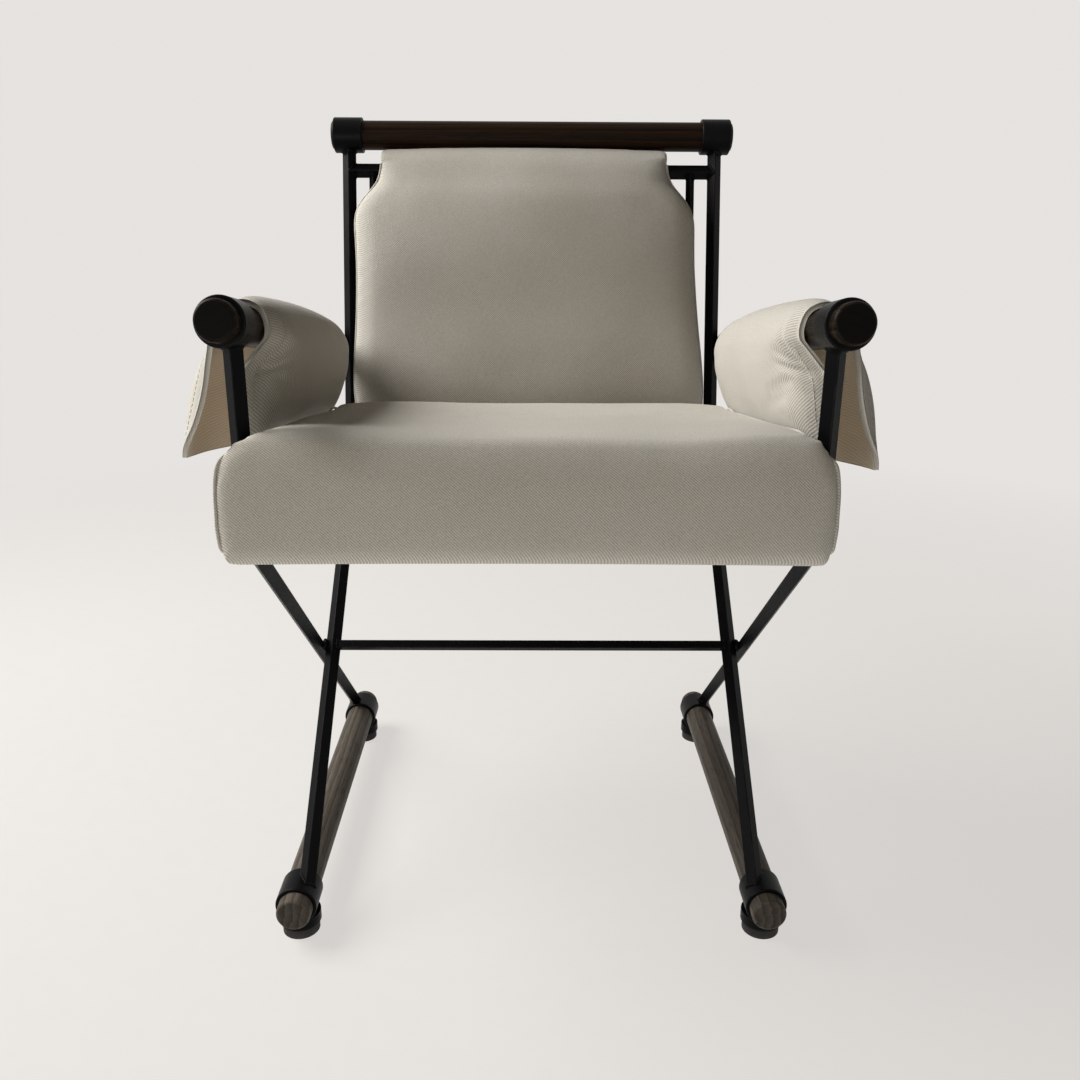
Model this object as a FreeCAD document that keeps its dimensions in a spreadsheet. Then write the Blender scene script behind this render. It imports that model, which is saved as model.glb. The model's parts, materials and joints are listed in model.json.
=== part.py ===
import FreeCAD, Part
import math
import os
import Sketcher

# Wrought-iron and wood armchair, millimetres, +Z up, front towards -Y, floor at Z = 0.
# Dims holds the driving sizes; Layout works out the stations that several pieces share.
Vector = FreeCAD.Vector
doc = FreeCAD.newDocument("Armchair")

DRIVING = [
    ("bar_side", 12.7, "square iron bar, across the flats"),
    ("bar_corner", 1.0, "rounding of the bar's corners"),
    ("slat_side", 8.0, "thin square bars under the seat and behind the back"),
    ("slat_corner", 0.7, "rounding of the thin bars' corners"),
    ("stretcher_side", 9.5, "square bar joining the two crossings"),
    ("bend_radius", 40.0, "bar axis at each bend"),
    ("dowel_diameter", 34.9, "wood rounds"),
    ("dowel_fit", 0.1, "radial play of a round in its collar"),
    ("dowel_ease", 3.5, "rounding of the wood ends"),
    ("collar_wall", 3.55, "pipe wall of the collars"),
    ("collar_length", 36.0, "pipe length of the collars"),
    ("collar_ease", 1.4, "rounding of the collar rims"),
    ("collar_touch", 0.05, "rear arm collar to the back post it is welded to"),
    ("runner_y", -6.4, "middle of the floor runners, front to back"),
    ("collar_spread", 413.0, "front runner collar to the rear one"),
    ("runner_proud", 33.0, "floor runner past the middle of its collars"),
    ("foot_lead", 15.2, "front runner collar behind the back post's foot"),
    ("foot_lag", 22.9, "rear runner collar ahead of the arm post's foot"),
    ("foot_height", 18.0, "floor to the underside of a collar"),
    ("foot_diameter", 42.0, "iron foot seat"),
    ("glide_diameter", 38.0, "rubber glide"),
    ("glide_height", 11.0, "rubber glide"),
    ("saddle_rise", 4.0, "foot seat up the sides of its collar"),
    ("screw_head", 9.0, "foot screw's head, across"),
    ("screw_head_height", 2.4, "foot screw's head"),
    ("screw_recess", 4.0, "floor to the foot screw's head"),
    ("screw_play", 0.3, "foot screw's head to the glide around it"),
    ("arm_post_lead", 38.4, "arm post ahead of the front runner collar"),
    ("bend_drop", 33.4, "back post's bend below the arm post's"),
    ("back_recline", 13.35, "back post to the vertical"),
    ("back_length", 423.0, "bend to the top rail axis"),
    ("crossbar_drop", 43.7, "top rail axis down to the crossbar"),
    ("rail_proud", 3.0, "top rail past its collars"),
    ("arm_height", 624.4, "arm axis at the arm post"),
    ("arm_rise", 190.1, "arm axis above the arm post's bend"),
    ("arm_fall", 8.0, "arm axis to the floor, falling to the rear"),
    ("arm_shift", 2.0, "arm axis outside the arm post"),
    ("arm_collar_lead", 8.0, "front arm collar ahead of the arm post"),
    ("arm_lead", 40.0, "front arm end ahead of the arm post"),
    ("arm_tail", 32.0, "rear arm end past the back post"),
    ("front_rail_lag", 18.0, "arm post to the front seat rail"),
    ("rear_rail_lead", 29.0, "rear seat rail ahead of the back bend"),
    ("slat_bend_drop", 16.0, "bend of the thin bars below the back bend"),
    ("slat_side_gap", 21.4, "outer thin bars to the back posts' inner corners"),
    ("pin_diameter", 4.0, "pins and screws that hold the wood"),
    ("pin_depth", 9.0, "pins and screws, into the wood"),
    ("cover_thickness", 2.0, "woven cover with its lining"),
    ("seat_depth", 422.6, "seat cushion, front to back"),
    ("seat_overhang", 42.6, "seat cushion ahead of the arm posts"),
    ("seat_thickness", 100.0, "seat cushion at its side seams"),
    ("seat_crown", 5.0, "rise of the seat cushion's middle"),
    ("seat_droop", 10.0, "front of the seat cushion below the rails' top"),
    ("seat_bulge", 3.0, "swell of the seat cushion's sides"),
    ("seat_shoulder", 30.0, "rolled upper corners of the seat cushion's wings"),
    ("seat_corner", 9.0, "draw-in of the seat cushion's corners"),
    ("seat_roll", 20.0, "rounding of the seat cushion's rear edge"),
    ("seat_back_gap", 46.4, "seat cushion's rear to the back post's bend"),
    ("seat_side_gap", 0.8, "seat cushion's sides to the arm posts' inner corners"),
    ("wing_gap", 1.6, "seat cushion's wings to the arm posts behind them"),
    ("wing_proud", 7.0, "seat cushion's wings past the arm posts' outer corners"),
    ("back_width", 430.0, "back pad"),
    ("back_side_gap", 17.02, "back pad to the back posts' axes"),
    ("neck_step", 33.0, "back pad's shoulder, where it narrows for the crossbar"),
    ("back_edge", 27.0, "back pad at its side seams"),
    ("back_crown", 16.0, "rise of the back pad's middle"),
    ("back_bulge", 2.0, "swell of the back pad's sides"),
    ("back_corner", 10.0, "draw-in of the back pad's corners"),
    ("back_roll", 28.0, "rounding of the back pad's lower edge"),
    ("back_flare", 8.0, "back pad's lower end wider on each side"),
    ("back_bottom", 46.0, "back bend up to the pad's lower edge"),
    ("back_flap", 112.0, "pad behind the crossbar, crossbar axis down"),
    ("wrap_thickness", 12.5, "back pad over the crossbar"),
    ("rest_gap", 0.4, "upholstery to the iron it lies on"),
    ("arm_pad_gap", 1.0, "arm pad to the wood under it"),
    ("arm_pad_start", 46.0, "arm post to the arm pad's front hem"),
    ("arm_pad_tail", 48.5, "arm pad's rear hem ahead of the back post"),
    ("arm_pad_fill", 27.0, "arm pad's inner panel"),
    ("arm_pad_top", 12.0, "arm pad over the wood"),
    ("arm_pad_crown", 7.0, "rise of the arm pad's middle"),
    ("arm_pad_bulge", 0.8, "swell of the arm pad's hems"),
    ("arm_pad_hem", 9.0, "inner panel's lower hem"),
    ("arm_pad_corner", 16.0, "draw-in of the arm flap's lower corners"),
    ("arm_flap_thickness", 7.0, "arm flap outside the wood"),
    ("arm_flap_spread", 50.0, "arm flap's lower hem outside the arm axis"),
    ("arm_flap_drop", 121.0, "arm flap's lower hem below the arm axis"),
    ("arm_panel_drop", 104.0, "inner panel's lower hem below the arm axis"),
]

DERIVED = [
    ("collar_radius", "Dims.dowel_diameter / 2 + Dims.dowel_fit + Dims.collar_wall"),
    ("runner_z", "Dims.foot_height + collar_radius"),
    ("bar_reach", "Dims.bar_side * sqrt(2) / 2"),
    ("bar_tip", "bar_reach - Dims.bar_corner * (sqrt(2) - 1)"),
    ("back_x", "Dims.back_width / 2 + Dims.back_side_gap"),
    ("runner_x", "back_x + bar_reach"),
    ("arm_x", "runner_x + bar_reach"),
    ("lean_slope", "tan(Dims.back_recline)"),
    ("front_collar_y", "Dims.runner_y - Dims.collar_spread / 2"),
    ("rear_collar_y", "Dims.runner_y + Dims.collar_spread / 2"),
    ("runner_length", "Dims.collar_spread + 2 * Dims.runner_proud"),
    ("back_foot_y", "front_collar_y - Dims.foot_lead"),
    ("arm_foot_y", "rear_collar_y + Dims.foot_lag"),
    ("arm_post_y", "front_collar_y - Dims.arm_post_lead"),
    ("arm_bend_z", "Dims.arm_height - Dims.arm_rise"),
    ("seat_rear", "Dims.seat_depth - Dims.seat_overhang"),
    ("back_bend_y", "arm_post_y + seat_rear + Dims.seat_back_gap"),
    ("back_bend_z", "arm_bend_z - Dims.bend_drop"),
    ("arm_slope", "(arm_bend_z - runner_z) / (arm_foot_y - arm_post_y)"),
    ("back_slope", "(back_bend_z - runner_z) / (back_bend_y - back_foot_y)"),
    ("arm_leg_angle", "atan(arm_slope) / 1 deg"),
    ("back_leg_angle", "atan(back_slope) / 1 deg"),
    ("cross_y", "(arm_slope * arm_foot_y + back_slope * back_foot_y) / (arm_slope + back_slope)"),
    ("cross_z", "runner_z + arm_slope * (arm_foot_y - cross_y)"),
    ("rail_y", "back_bend_y + Dims.back_length * sin(Dims.back_recline)"),
    ("rail_z", "back_bend_z + Dims.back_length * cos(Dims.back_recline)"),
    ("crossbar_run", "Dims.back_length - Dims.crossbar_drop"),
    ("crossbar_y", "back_bend_y + crossbar_run * sin(Dims.back_recline)"),
    ("crossbar_z", "back_bend_z + crossbar_run * cos(Dims.back_recline)"),
    ("front_rail_y", "arm_post_y + Dims.front_rail_lag"),
    ("front_rail_z", "arm_bend_z - arm_slope * Dims.front_rail_lag"),
    ("rear_rail_y", "back_bend_y - Dims.rear_rail_lead"),
    ("rear_rail_z", "back_bend_z - back_slope * Dims.rear_rail_lead"),
    ("slat_bend_y", "back_bend_y - Dims.slat_bend_drop * lean_slope"),
    ("slat_bend_z", "back_bend_z - Dims.slat_bend_drop"),
    ("slat_pitch", "(back_x - bar_reach - Dims.slat_side_gap) / 2"),
    ("deck_slope", "(front_rail_z - slat_bend_z) / (slat_bend_y - front_rail_y)"),
    ("deck_angle", "atan(deck_slope) / 1 deg"),
    ("seat_width", "2 * (arm_x - bar_reach - Dims.seat_side_gap - Dims.seat_bulge)"),
    ("wing_width", "2 * (arm_x + bar_reach + Dims.wing_proud)"),
    ("neck_width", "Dims.back_width - 2 * Dims.neck_step"),
    ("arm_front_x", "arm_x + Dims.arm_shift"),
    ("arm_rear_x", "back_x + bar_tip + collar_radius + Dims.collar_touch"),
    ("arm_climb", "(Dims.arm_height - back_bend_z) * lean_slope"),
    ("arm_rate", "cos(Dims.arm_fall) + sin(Dims.arm_fall) * lean_slope"),
    ("arm_run", "(back_bend_y - arm_post_y + arm_climb) / arm_rate"),
    ("arm_splay", "asin((arm_rear_x - arm_front_x) / arm_run) / 1 deg"),
    ("arm_pad_length", "arm_run - Dims.arm_pad_start - Dims.arm_pad_tail"),
]

SLAT_COUNT = 5
SIDES = (("left", -1), ("right", 1))


def fill_sheet(name, rows, lead):
    sheet = doc.addObject("Spreadsheet::Sheet", name)
    for row, entry in enumerate(rows, 1):
        sheet.set(f"A{row}", entry[2] if len(entry) > 2 else entry[0])
        sheet.set(f"B{row}", lead + str(entry[1]))
        sheet.setAlias(f"B{row}", entry[0])
    return sheet


dims = fill_sheet("Dims", DRIVING, "")
doc.recompute()
layout = fill_sheet("Layout", DERIVED, "=")
doc.recompute()
DRIVEN = {entry[0] for entry in DRIVING}


def size(alias):
    value = getattr(dims if alias in DRIVEN else layout, alias)
    return float(getattr(value, "Value", value))


def plane_of(body, role):
    return next(item for item in body.Origin.OriginFeatures if item.Role == role)


def sketch_on(body, role, name, offset=(None, None, None), tilt=None):
    """A sketch on one of the body's own planes, moved and turned about X by bound sizes."""
    sketch = body.newObject("Sketcher::SketchObject", name)
    sketch.AttachmentSupport = (plane_of(body, role), [""])
    sketch.MapMode = "FlatFace"
    if tilt:
        turn = FreeCAD.Rotation(Vector(1, 0, 0), 10)
        sketch.AttachmentOffset = FreeCAD.Placement(Vector(), turn)
        sketch.setExpression("AttachmentOffset.Rotation.Angle", tilt)
    for axis, expression in zip("xyz", offset):
        if expression:
            sketch.setExpression(f"AttachmentOffset.Base.{axis}", expression)
    return sketch


def hold(sketch, constraint, name, expression):
    index = sketch.addConstraint(constraint)
    sketch.renameConstraint(index, name)
    sketch.setExpression(f"Constraints.{name}", expression)


def hold_point(sketch, geometry, end, point, name, first, second):
    hold(sketch, Sketcher.Constraint("DistanceX", -1, 1, geometry, end, point.x), name + "_u", first)
    hold(sketch, Sketcher.Constraint("DistanceY", -1, 1, geometry, end, point.y), name + "_v", second)


def draw_circle(sketch, radius, expression, name="round", centre=None):
    """A circle of bound radius; centre is a bound distance along the sketch's second axis."""
    at = Vector(0, centre[0], 0) if centre else Vector()
    index = sketch.addGeometry(Part.Circle(at, Vector(0, 0, 1), radius))
    if centre:
        sketch.addConstraint(Sketcher.Constraint("PointOnObject", index, 3, -2))
        hold(sketch, Sketcher.Constraint("DistanceY", -1, 1, index, 3, centre[0]), name + "_at", centre[1])
    else:
        sketch.addConstraint(Sketcher.Constraint("Coincident", index, 3, -1, 1))
    hold(sketch, Sketcher.Constraint("Radius", index, radius), name + "_radius", expression)


def draw_diamond(sketch, stock):
    """Square bar stock standing on its corner, with rounded corners."""
    corner = size(stock + "_corner") if stock != "stretcher" else size("slat_corner")
    corner_name = "Dims.slat_corner" if stock == "stretcher" else f"Dims.{stock}_corner"
    reach = (size(stock + "_side") / 2 - corner) * math.sqrt(2)
    reach_name = f"(Dims.{stock}_side / 2 - {corner_name}) * sqrt(2)"
    for step in range(4):
        turn = step * math.pi / 2
        centre = Vector(reach * round(math.cos(turn)), reach * round(math.sin(turn)), 0)
        circle = Part.Circle(centre, Vector(0, 0, 1), corner)
        sketch.addGeometry(Part.ArcOfCircle(circle, turn - math.pi / 4, turn + math.pi / 4))
    arcs = list(sketch.Geometry)
    for step in range(4):
        sketch.addGeometry(Part.LineSegment(arcs[step].EndPoint, arcs[(step + 1) % 4].StartPoint))
    for step in range(4):
        sketch.addConstraint(Sketcher.Constraint("Tangent", step, 2, 4 + step, 1))
        sketch.addConstraint(Sketcher.Constraint("Tangent", 4 + step, 2, (step + 1) % 4, 1))
    hold(sketch, Sketcher.Constraint("Radius", 0, corner), "corner", corner_name)
    for step in range(1, 4):
        sketch.addConstraint(Sketcher.Constraint("Equal", 0, step))
    for step in range(4):
        kind = "DistanceX" if step % 2 == 0 else "DistanceY"
        ends = (-1, 1, step, 3) if step < 2 else (step, 3, -1, 1)
        sketch.addConstraint(Sketcher.Constraint("PointOnObject", step, 3, -1 if step % 2 == 0 else -2))
        hold(sketch, Sketcher.Constraint(kind, *ends, reach), f"reach_{step}", reach_name)


def bent_bar(name, stock, side_x, stations, tilt):
    """A bar swept along line, bend and line in the plane at side_x."""
    body = doc.addObject("PartDesign::Body", name)
    path = sketch_on(body, "YZ_Plane", name + "_path", (None, None, side_x))
    start, corner, end = [Vector(size(y), size(z), 0) for y, z in stations]
    radius = size("bend_radius")
    back = (start - corner).normalize()
    onward = (end - corner).normalize()
    half = math.acos(back.dot(onward)) / 2
    reach = radius / math.tan(half)
    centre = corner + (back + onward).normalize() * (radius / math.sin(half))
    first = corner + back * reach
    second = corner + onward * reach
    left_turn = (corner - start).cross(end - corner).z > 0
    ends = (1, 2) if left_turn else (2, 1)
    angles = [math.atan2(*reversed((point - centre)[:2])) for point in (first, second)]
    opening, closing = angles if left_turn else reversed(angles)
    closing += 2 * math.pi if closing < opening else 0
    path.addGeometry(Part.LineSegment(start, first))
    path.addGeometry(Part.ArcOfCircle(Part.Circle(centre, Vector(0, 0, 1), radius), opening, closing))
    path.addGeometry(Part.LineSegment(second, end))
    path.addGeometry(Part.Point(corner), True)
    path.addConstraint(Sketcher.Constraint("Tangent", 0, 2, 1, ends[0]))
    path.addConstraint(Sketcher.Constraint("Tangent", 1, ends[1], 2, 1))
    path.addConstraint(Sketcher.Constraint("PointOnObject", 3, 1, 0))
    path.addConstraint(Sketcher.Constraint("PointOnObject", 3, 1, 2))
    names = [(bound(y), bound(z)) for y, z in stations]
    hold_point(path, 0, 1, start, "start", *names[0])
    hold_point(path, 3, 1, corner, "corner", *names[1])
    hold_point(path, 2, 2, end, "end", *names[2])
    hold(path, Sketcher.Constraint("Radius", 1, radius), "bend", "Dims.bend_radius")
    section = sketch_on(body, "XY_Plane", name + "_section", (side_x, *names[0]), tilt)
    draw_diamond(section, stock)
    doc.recompute()
    sweep = body.newObject("PartDesign::AdditivePipe", name + "_sweep")
    sweep.Profile = section
    sweep.Spine = (path, ["Edge1", "Edge2", "Edge3"])
    doc.recompute()
    return body


def bound(alias):
    return f"Dims.{alias}" if alias in DRIVEN else f"Layout.{alias}"


def cross_bar(name, stock, y, z, half_length):
    """A straight bar from side to side, half_length a bound size."""
    body = doc.addObject("PartDesign::Body", name)
    section = sketch_on(body, "YZ_Plane", name + "_section", (bound(y), bound(z), None))
    draw_diamond(section, stock)
    doc.recompute()
    pad = body.newObject("PartDesign::Pad", name + "_pad")
    pad.Profile = section
    pad.SideType = "Symmetric"
    pad.setExpression("Length", f"2 * ({half_length})")
    doc.recompute()
    return body


def cut(name, base, *tools):
    """Base cut to seat against each tool in turn."""
    for count, tool in enumerate(tools, 1):
        step = doc.addObject("Part::Cut", name if count == len(tools) else f"{name}_seat_{count}")
        step.Base = base
        step.Tool = tool
        base = step
    doc.recompute()
    return base


def place(side, x, y, z, yaw="0", roll="0"):
    """Bound placement text: a point, then yaw about Z and roll about X."""
    return f"placement(vector({side} * ({x}); {y}; {z}); rotation({side} * ({yaw}); 0; {roll}))"


def round_edges(body, feature, radius, expression, name, wanted):
    """Rounds the circular edges of the given radius."""
    doc.recompute()
    edges = [f"Edge{index}" for index, edge in enumerate(feature.Shape.Edges, 1)
             if isinstance(edge.Curve, Part.Circle) and abs(edge.Curve.Radius - wanted) < 1e-6]
    fillet = body.newObject("PartDesign::Fillet", name)
    fillet.Base = (feature, edges)
    fillet.Radius = radius
    fillet.setExpression("Radius", expression)
    doc.recompute()
    return fillet


def pin_hole(body, name, stations, drop=None):
    """Holes that run down from the sketch plane, at bound stations along the piece."""
    sketch = sketch_on(body, "XY_Plane", name + "_marks", (None, None, drop))
    for count, station in enumerate(stations):
        draw_circle(sketch, size("pin_diameter") / 2, "Dims.pin_diameter / 2", f"pin_{count}", station)
    doc.recompute()
    pocket = body.newObject("PartDesign::Pocket", name)
    pocket.Profile = sketch
    pocket.Type = "ThroughAll"
    doc.recompute()


def collar(name, where):
    """A pipe collar along its own Y, eased rims, with the hole of its pin underneath."""
    body = doc.addObject("PartDesign::Body", name)
    body.setExpression("Placement", where)
    sketch = sketch_on(body, "XZ_Plane", name + "_section")
    draw_circle(sketch, size("collar_radius"), "Layout.collar_radius", "outer")
    bore = size("dowel_diameter") / 2 + size("dowel_fit")
    draw_circle(sketch, bore, "Dims.dowel_diameter / 2 + Dims.dowel_fit", "bore")
    pad = body.newObject("PartDesign::Pad", name + "_pad")
    pad.Profile = sketch
    pad.SideType = "Symmetric"
    pad.setExpression("Length", "Dims.collar_length")
    round_edges(body, pad, size("collar_ease"), "Dims.collar_ease", name + "_rims", size("collar_radius"))
    pin_hole(body, name + "_hole", [None])
    return body


def dowel(name, where, length, stations):
    """A wood round along its own Y with eased ends and a blind hole for each pin."""
    body = doc.addObject("PartDesign::Body", name)
    body.setExpression("Placement", where)
    sketch = sketch_on(body, "XZ_Plane", name + "_section")
    draw_circle(sketch, size("dowel_diameter") / 2, "Dims.dowel_diameter / 2")
    pad = body.newObject("PartDesign::Pad", name + "_pad")
    pad.Profile = sketch
    pad.SideType = "Symmetric"
    pad.setExpression("Length", length)
    radius = size("dowel_diameter") / 2
    round_edges(body, pad, size("dowel_ease"), "Dims.dowel_ease", name + "_ends", radius)
    pin_hole(body, name + "_holes", stations, "Dims.pin_depth - Dims.dowel_diameter / 2")
    return body


def cylinder(name, radius, height, where):
    tool = doc.addObject("Part::Cylinder", name)
    tool.setExpression("Radius", radius)
    tool.setExpression("Height", height)
    tool.setExpression("Placement", where)
    return tool


def seat_tool(name, where, yaw="0", roll="0"):
    """The round a bar is cut to where it lands on a collar; reaches past the collar's rims."""
    side, x, y, z = where
    turn = f"rotation({side} * ({yaw}); 0; {roll}) * rotation(0; 0; 90)"
    body = cylinder(name, "Layout.collar_radius", "3 * Dims.collar_length",
                    f"placement(vector({side} * ({x}); {y}; {z}); {turn}) "
                    "* placement(vector(0; 0; -1.5 * Dims.collar_length); rotation(0; 0; 0))")
    return body


def solid_feature(name, shape):
    feature = doc.addObject("Part::Feature", name)
    feature.Shape = shape
    return feature


nodes = {}

# Side frames: each back post starts on the front runner collar, each arm post on the rear one.
legs = {}
arms_yaw = "-Layout.arm_splay"
arms_roll = "-Dims.arm_fall"
for hand, side in SIDES:
    back_raw = bent_bar(f"back_bar_{hand}", "bar", f"{side} * Layout.back_x",
                        [("back_foot_y", "runner_z"), ("back_bend_y", "back_bend_z"), ("rail_y", "rail_z")],
                        "Layout.back_leg_angle - 90")
    arm_raw = bent_bar(f"arm_bar_{hand}", "bar", f"{side} * Layout.arm_x",
                       [("arm_foot_y", "runner_z"), ("arm_post_y", "arm_bend_z"),
                        ("arm_post_y", "arm_height")],
                       "90 - Layout.arm_leg_angle")
    legs[hand] = (back_raw, arm_raw)
    runner_seat = seat_tool(f"runner_seat_{hand}", (side, "Layout.runner_x", "Layout.front_collar_y",
                                                    "Layout.runner_z"))
    rear_seat = seat_tool(f"rear_seat_{hand}", (side, "Layout.runner_x", "Layout.rear_collar_y",
                                                "Layout.runner_z"))
    arm_seat = seat_tool(f"arm_seat_{hand}", (side, "Layout.arm_front_x", "Layout.arm_post_y",
                                              "Dims.arm_height"), arms_yaw, arms_roll)
    rail_seat = cylinder(f"rail_seat_{hand}", "Layout.collar_radius", "3 * Dims.collar_length",
                         f"placement(vector({side} * Layout.back_x; Layout.rail_y; Layout.rail_z); "
                         "rotation(90; 0; 90)) * placement(vector(0; 0; -1.5 * Dims.collar_length); "
                         "rotation(0; 0; 0))")
    nodes[f"back_post_{hand}"] = cut(f"back_post_{hand}", back_raw, runner_seat, rail_seat)
    nodes[f"arm_post_{hand}"] = cut(f"arm_post_{hand}", arm_raw, rear_seat, arm_seat)

# Cross members, each cut to seat on the bars it joins.
raw = cross_bar("stretcher_bar", "stretcher", "cross_y", "cross_z", "Layout.back_x")
nodes["leg_stretcher"] = cut("leg_stretcher", raw, legs["left"][0], legs["right"][0])
raw = cross_bar("crossbar_bar", "bar", "crossbar_y", "crossbar_z", "Layout.back_x - 2 * Dims.bar_corner")
crossbar = cut("back_crossbar", raw, legs["left"][0], legs["right"][0])
nodes["back_crossbar"] = crossbar
raw = cross_bar("front_rail_bar", "bar", "front_rail_y", "front_rail_z",
                "Layout.arm_x - 2 * Dims.bar_corner")
front_rail = cut("seat_front_rail", raw, legs["left"][1], legs["right"][1])
nodes["seat_front_rail"] = front_rail
raw = cross_bar("rear_rail_bar", "bar", "rear_rail_y", "rear_rail_z",
                "Layout.back_x - 2 * Dims.bar_corner")
rear_rail = cut("seat_rear_rail", raw, legs["left"][0], legs["right"][0])
nodes["seat_rear_rail"] = rear_rail

# Thin bars: each runs back from the front rail over the rear rail and up to the crossbar.
for number in range(SLAT_COUNT):
    step = number - (SLAT_COUNT - 1) // 2
    raw = bent_bar(f"slat_bar_{number + 1}", "slat", f"{step} * Layout.slat_pitch",
                   [("front_rail_y", "front_rail_z"), ("slat_bend_y", "slat_bend_z"),
                    ("crossbar_y", "crossbar_z")],
                   "-90 - Layout.deck_angle")
    nodes[f"seat_back_bar_{number + 1}"] = cut(f"seat_back_bar_{number + 1}", raw,
                                               front_rail, rear_rail, crossbar)

# Wood rounds and the pipe collars that hold them; the top rail's pins come in from behind.
RAIL_TURN = "rotation(-90; 0; 0) * rotation(0; 90; 0)"
half_spread = (size("collar_spread") / 2, "Dims.collar_spread / 2")
arm_half = "(Layout.arm_run + Dims.arm_tail + Dims.arm_lead) / 2"
arm_middle = (size("arm_run") + size("arm_tail") - size("arm_lead")) / 2
pins = []
for hand, side in SIDES:
    where = place(side, "Layout.runner_x", "Dims.runner_y", "Layout.runner_z")
    nodes[f"floor_runner_{hand}"] = dowel(
        f"floor_runner_{hand}", where, "Layout.runner_length",
        [(-half_spread[0], "-" + half_spread[1]), half_spread])
    for end in ("front", "rear"):
        where = place(side, "Layout.runner_x", f"Layout.{end}_collar_y", "Layout.runner_z")
        nodes[f"runner_collar_{end}_{hand}"] = collar(f"runner_collar_{end}_{hand}", where)
    arm_frame = place(side, "Layout.arm_front_x", "Layout.arm_post_y", "Dims.arm_height",
                      arms_yaw, arms_roll)
    marks = {"front": "-Dims.arm_collar_lead", "rear": "Layout.arm_run"}
    middle = f"({arm_half} - Dims.arm_lead)"
    shift = " * placement(vector(0; {}; 0); rotation(0; 0; 0))"
    nodes[f"arm_dowel_{hand}"] = dowel(
        f"arm_dowel_{hand}", arm_frame + shift.format(middle), f"2 * {arm_half}",
        [(-size("arm_collar_lead") - arm_middle, f"-Dims.arm_collar_lead - {middle}"),
         (size("arm_run") - arm_middle, f"Layout.arm_run - {middle}")])
    for end, mark in marks.items():
        where = arm_frame + shift.format(mark)
        nodes[f"arm_collar_{end}_{hand}"] = collar(f"arm_collar_{end}_{hand}", where)
        pins.append((f"arm_pin_{end}_{hand}", where))
    where = (f"placement(vector({side} * Layout.back_x; Layout.rail_y; Layout.rail_z); "
             f"{RAIL_TURN})")
    nodes[f"rail_collar_{hand}"] = collar(f"rail_collar_{hand}", where)
    pins.append((f"rail_pin_{hand}", where))
rail_half = "(Layout.back_x + Dims.collar_length / 2 + Dims.rail_proud)"
nodes["top_rail"] = dowel(
    "top_rail", f"placement(vector(0; Layout.rail_y; Layout.rail_z); {RAIL_TURN})",
    f"2 * {rail_half}", [(-size("back_x"), "-Layout.back_x"), (size("back_x"), "Layout.back_x")])

# Pins: one to each arm and top-rail collar, through the pipe wall and into the wood.
pin_solids = []
for name, where in pins:
    drop = " * placement(vector(0; 0; -Layout.collar_radius); rotation(0; 0; 0))"
    pin_solids.append(cylinder(name, "Dims.pin_diameter / 2",
                               "Dims.pin_depth + Dims.dowel_fit + Dims.collar_wall", where + drop))
pin_group = doc.addObject("Part::Compound", "collar_pins")
pin_group.Links = pin_solids
nodes["collar_pins"] = pin_group

# Feet: an iron seat cut to the collar above it, a rubber glide, and a screw up into the wood.
screws = []
for hand, side in SIDES:
    for end in ("front", "rear"):
        name = f"{end}_{hand}"
        spot = (f"placement(vector({side} * Layout.runner_x; Layout.{end}_collar_y; {{}}); "
                "rotation(0; 0; 0))")
        disc = cylinder(f"foot_disc_{name}", "Dims.foot_diameter / 2",
                        "Dims.foot_height + Dims.saddle_rise - Dims.glide_height",
                        spot.format("Dims.glide_height"))
        saddle = seat_tool(f"foot_saddle_{name}", (side, "Layout.runner_x", f"Layout.{end}_collar_y",
                                                   "Layout.runner_z"))
        bore = cylinder(f"foot_bore_{name}", "Dims.pin_diameter / 2", "2 * Dims.foot_height",
                        spot.format("0"))
        nodes[f"foot_seat_{name}"] = cut(f"foot_seat_{name}", disc, saddle, bore)
        puck = cylinder(f"glide_disc_{name}", "Dims.glide_diameter / 2", "Dims.glide_height",
                        spot.format("0"))
        recess = cylinder(f"glide_recess_{name}", "Dims.screw_head / 2 + Dims.screw_play",
                          "Dims.screw_recess + Dims.screw_head_height", spot.format("0"))
        nodes[f"foot_glide_{name}"] = cut(f"foot_glide_{name}", puck, recess, bore)
        head = cylinder(f"screw_head_{name}", "Dims.screw_head / 2", "Dims.screw_head_height",
                        spot.format("Dims.screw_recess"))
        shank = cylinder(f"screw_shank_{name}", "Dims.pin_diameter / 2",
                         "Dims.foot_height + Dims.collar_wall + Dims.dowel_fit + Dims.pin_depth "
                         "- Dims.screw_recess", spot.format("Dims.screw_recess"))
        screw = doc.addObject("Part::Fuse", f"foot_screw_{name}")
        screw.Base = head
        screw.Tool = shank
        screws.append(screw)
doc.recompute()
screw_group = doc.addObject("Part::Compound", "foot_screws")
screw_group.Links = screws
nodes["foot_screws"] = screw_group
doc.recompute()


# Upholstery: every pad is a loft through lens sections, drawn once for its cover and once for its fill.
def lens(origin, across, out, half_width, edge, crown, bulge):
    """Flat inside, arched outside, with sides that swell a little between their seams."""
    low_left = origin - across * half_width
    low_right = origin + across * half_width
    top_left = low_left + out * edge
    top_right = low_right + out * edge
    peak = origin + out * (edge + crown)
    left = (low_left + top_left) * 0.5 - across * bulge
    right = (low_right + top_right) * 0.5 + across * bulge
    return Part.Wire([
        Part.LineSegment(low_left, low_right).toShape(),
        Part.Arc(low_right, right, top_right).toShape(),
        Part.Arc(top_right, peak, top_left).toShape(),
        Part.Arc(top_left, left, low_left).toShape()])


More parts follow.
